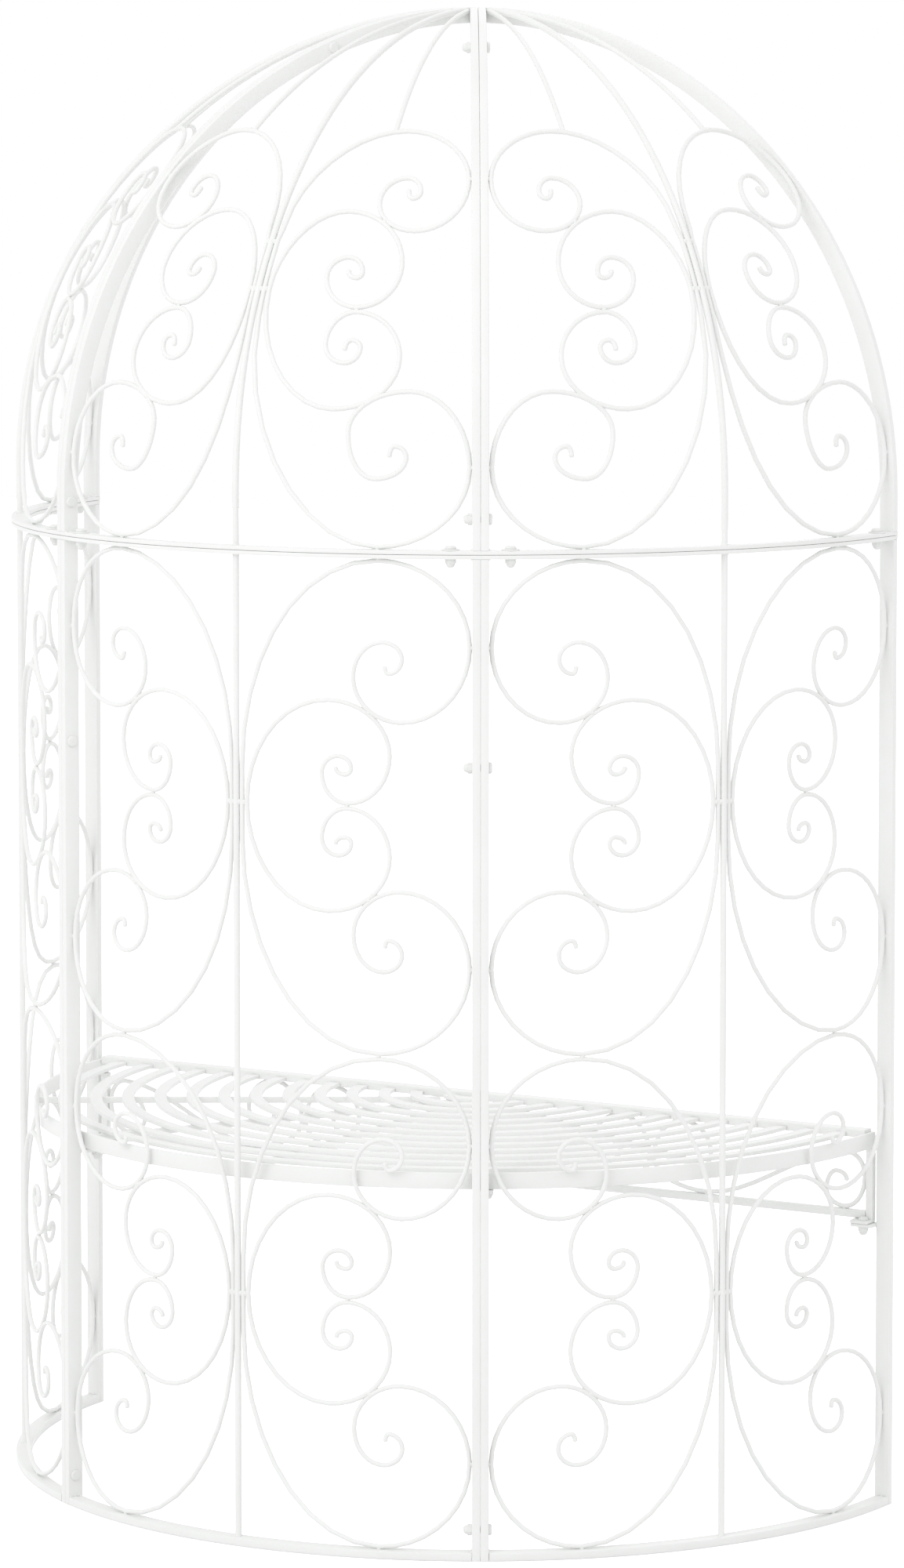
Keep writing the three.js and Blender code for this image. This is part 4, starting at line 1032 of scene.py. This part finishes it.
def folded_to_flat(angle):
    """The angle to the middle of the nearest flat of a hexagon with a corner at zero."""
    return angle % (2 * HALF_FLAT) - HALF_FLAT


def bolt(node, base, axis, grip, head, washer=False):
    """A pan-headed bolt with its shank and hexagonal cap nut. The axis points out of the head, and
    the base is what the head or its washer stands on."""
    head_radius, head_height = head
    seat = WASHER_THICKNESS if washer else 0
    nut_top = -grip
    nut_bottom = nut_top - NUT_HEIGHT
    cap = [(CAP_RADIUS * r, nut_bottom - CAP_HEIGHT * h, False) for r, h in CAP_SHARES]
    nut = [
        (NUT_RADIUS * NUT_FACE_SHARE, nut_bottom, False),
        (NUT_RADIUS, nut_bottom + NUT_CHAMFER, True),
        (NUT_RADIUS, nut_top - NUT_CHAMFER, True),
        (NUT_RADIUS * NUT_FACE_SHARE, nut_top, False),
    ]
    shank = [(BOLT_RADIUS, nut_top, False), (BOLT_RADIUS, 0, False)]
    ring = [
        (WASHER_RADIUS - EDGE_ROUND, 0, False),
        (WASHER_RADIUS, EDGE_ROUND, False),
        (WASHER_RADIUS - EDGE_INSET, seat, False),
    ]
    top = [(head_radius - EDGE_INSET, seat, False), (head_radius, seat + EDGE_ROUND, False)]
    top += [(head_radius * r, seat + head_height * h, False) for r, h in HEAD_SHARES]
    shape = Shape()
    shape.lathe(cap + nut + shank + (ring if washer else []) + top, base, axis)
    shape.piece(f"{node}_and_nut", BOLT_COAT, BOLT_SLOT, (node,))


def joint_bolts(name, angle):
    spin = Matrix.Rotation(angle, 3, "Z")
    axis = spin @ NORTH
    roof_foot, roof_top = roof_bolt_places()
    places = {
        "wall_foot": (MID_RADIUS, JOINT_BOLT_FOOT, WALL_JOINT_GAP),
        "wall_middle": (MID_RADIUS, WALL_HEIGHT * JOINT_BOLT_MIDDLE_SHARE, WALL_JOINT_GAP),
        "roof_foot": (*roof_foot, ROOF_JOINT_GAP),
        "roof_top": (*roof_top, ROOF_JOINT_GAP),
    }
    for place, (r, z, gap) in places.items():
        half_grip = gap + BAR_THICKNESS
        base = spin @ Vector((r, half_grip, z))
        bolt(f"{name}_joint_bolt_{place}", base, axis, 2 * half_grip, PANEL_BOLT_HEAD)


def rail_bolt(panel, end, side, panel_angle):
    angle = panel_angle + side * (HALF_ANGLE - RAIL_BOLT_INSET / MID_RADIUS)
    grip = 2 * RAIL_THICKNESS + RAIL_JOINT_GAP
    base = polar(MID_RADIUS, angle, ROOF_FLOOR)
    bolt(f"{panel}_rail_bolt_{end}", base, UP, grip, PANEL_BOLT_HEAD, washer=True)


def seat_bolt(node, place, lug_top, lug_thickness):
    grip = lug_thickness + TAB_THICKNESS + WELD_GAP
    bolt(node, place + UP * lug_top, UP, grip, SEAT_BOLT_HEAD)


# Assembly


def build_panel(index, panel):
    panel_angle = HALF_ANGLE + index * PANEL_ANGLE
    welds = Welds()
    for side, end in ((-1, "a"), (1, "b")):
        is_front = (side < 0 and index == 0) or (side > 0 and index == len(PANELS) - 1)
        rear_tab = (REAR_TAB_TOP, REAR_TAB_WIDTH) if side < 0 else None
        tab = (FRONT_TAB_TOP, FRONT_TAB_WIDTH) if is_front else rear_tab
        stile(panel, end, side, panel_angle, tab, welds)
        wall_scrolls(f"{panel}_wall_scrolls_{end}", panel_angle, side)
        roof_rib(panel, end, side, panel_angle, welds)
        rail_bolt(panel, end, side, panel_angle)
    wall_centre_bar(panel, panel_angle, welds)
    bottom_reach = WALL_JOINT_GAP + BAR_THICKNESS + WELD_GAP
    curved_rail(f"{panel}_wall_bottom_rail", panel_angle, bottom_reach, 0, BAR_THICKNESS, BAR_CORNER)
    curved_rail(
        f"{panel}_wall_top_rail", panel_angle, WALL_JOINT_GAP, WALL_CEILING, WALL_HEIGHT, RAIL_CORNER
    )
    curved_rail(f"{panel}_roof_rail", panel_angle, ROOF_JOINT_GAP, ROOF_BASE, ROOF_FLOOR, RAIL_CORNER)
    roof_scrollwork(panel, panel_angle, welds)
    welds.shape.piece(f"{panel}_panel_welds", WELD_COAT, COAT_SLOT)


def build_seat():
    welds = Welds()
    seat_rim()
    seat_slats()
    span = math.sqrt(RIM_INNER**2 - FRONT_BACK**2) - WELD_GAP
    cross_bar("seat_front_bar", span, FRONT_BACK, FRONT_BAR_BOTTOM, FRONT_BAR_TOP, BAR_CORNER)
    reach = POST_INNER - WELD_GAP
    cross_bar("apron_lower_bar", reach, APRON_BACK, APRON_BOTTOM, APRON_FLOOR, APRON_CORNER)
    for side, name in ((1, "right"), (-1, "left")):
        apron_end(name, side, welds)
        apron_scrolls(name, side, welds)
        place = Vector((side * FRONT_BOLT_X, FRONT_BOLT_OFFSET, 0))
        seat_bolt(f"seat_front_bolt_{name}", place, LUG_TOP, TAB_THICKNESS)
    for angle, name in zip(JOINT_ANGLES, ("right", "left")):
        place = Matrix.Rotation(angle, 3, "Z") @ Vector((SEAT_BOLT_RADIUS, REAR_BOLT_OFFSET, 0))
        seat_bolt(f"seat_rear_bolt_{name}", place, SUPPORT_BOTTOM, SUPPORT_BOTTOM - RIM_BOTTOM)
    welds.shape.piece("seat_welds", WELD_COAT, COAT_SLOT)


def build_joints():
    for angle, name in zip(JOINT_ANGLES, ("right", "left")):
        joint_bolts(name, angle)


# Camera, light and floor


def add_camera():
    data = bpy.data.cameras.new("camera")
    data.sensor_width = SENSOR
    data.lens = SENSOR * PHOTO_FOCAL / PHOTO_HEIGHT
    data.shift_y = -(PHOTO_HEIGHT / 2 - PHOTO_CENTRE_ROW) / PHOTO_HEIGHT
    camera = bpy.data.objects.new("camera", data)
    place = polar(CAMERA_DISTANCE, CAMERA_ANGLE, CAMERA_HEIGHT)
    camera.location = (place.x, place.y + AXIS_Y, place.z)
    heading = CAMERA_ANGLE + math.pi + CAMERA_TURN
    camera.rotation_euler = (QUARTER - CAMERA_DIP, 0, heading - QUARTER)
    bpy.context.collection.objects.link(camera)
    bpy.context.scene.camera = camera


def seen_directly(tree):
    """1 for what the camera, a reflection or glass shows, 0 for light that falls on the object."""
    path = add_node(tree, "ShaderNodeLightPath")
    total = path.outputs["Is Camera Ray"]
    for name in ("Is Glossy Ray", "Is Transmission Ray"):
        either = add_node(tree, "ShaderNodeMath")
        either.operation = "MAXIMUM"
        tree.links.new(total, either.inputs[0])
        tree.links.new(path.outputs[name], either.inputs[1])
        total = either.outputs["Value"]
    return total


def add_world():
    world = bpy.data.worlds.new("studio")
    bpy.context.scene.world = world
    world.use_nodes = True
    tree = world.node_tree
    background = tree.nodes["Background"]
    background.inputs["Color"].default_value = (1, 1, 1, 1)
    strength = add_node(tree, "ShaderNodeMapRange", To_Min=WORLD_LIGHT, To_Max=1.0)
    tree.links.new(seen_directly(tree), strength.inputs["Value"])
    tree.links.new(strength.outputs["Result"], background.inputs["Strength"])


def add_lamp(name, azimuth, elevation, power):
    data = bpy.data.lights.new(name, "AREA")
    data.shape = "DISK"
    data.size = LAMP_SIZE
    data.energy = power
    light = bpy.data.objects.new(name, data)
    flat = LAMP_DISTANCE * math.cos(elevation)
    offset = polar(flat, azimuth, LAMP_DISTANCE * math.sin(elevation))
    light.location = UP * (RADIUS * LAMP_TARGET_SHARE * MM) + offset
    light.rotation_euler = (-offset).to_track_quat("-Z", "Y").to_euler()
    bpy.context.collection.objects.link(light)


def add_floor():
    mesh = bpy.data.meshes.new("floor")
    ways = ((-1, -1), (1, -1), (1, 1), (-1, 1))
    corners = [(FLOOR_HALF * x, FLOOR_HALF * y, 0) for x, y in ways]
    mesh.from_pydata(corners, [], [(0, 1, 2, 3)])
    floor = bpy.data.objects.new("floor", mesh)
    floor.location.z = -FLOOR_DROP
    material = bpy.data.materials.new("floor_white")
    material.use_nodes = True
    tree = material.node_tree
    matt = tree.nodes["Principled BSDF"]
    matt.inputs["Base Color"].default_value = (FLOOR_GREY, FLOOR_GREY, FLOOR_GREY, 1)
    matt.inputs["Roughness"].default_value = 1
    lift = add_node(tree, "ShaderNodeMapRange", To_Min=0.0, To_Max=FLOOR_LIFT)
    tree.links.new(seen_directly(tree), lift.inputs["Value"])
    matt.inputs["Emission Color"].default_value = (1, 1, 1, 1)
    tree.links.new(lift.outputs["Result"], matt.inputs["Emission Strength"])
    mesh.materials.append(material)
    bpy.context.collection.objects.link(floor)
    floor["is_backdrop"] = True


add_camera()
add_world()
for lamp, lamp_azimuth, lamp_elevation, lamp_power in LAMPS:
    add_lamp(lamp, math.radians(lamp_azimuth), math.radians(lamp_elevation), lamp_power)
add_floor()
bpy.context.scene.view_settings.view_transform = "Standard"

for panel_index, panel_name in enumerate(PANELS):
    build_panel(panel_index, panel_name)
build_seat()
build_joints()

boxes = {"cad": CAD_BOX, "visual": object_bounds()}
{name: [list(corner) for corner in box] for name, box in boxes.items()}
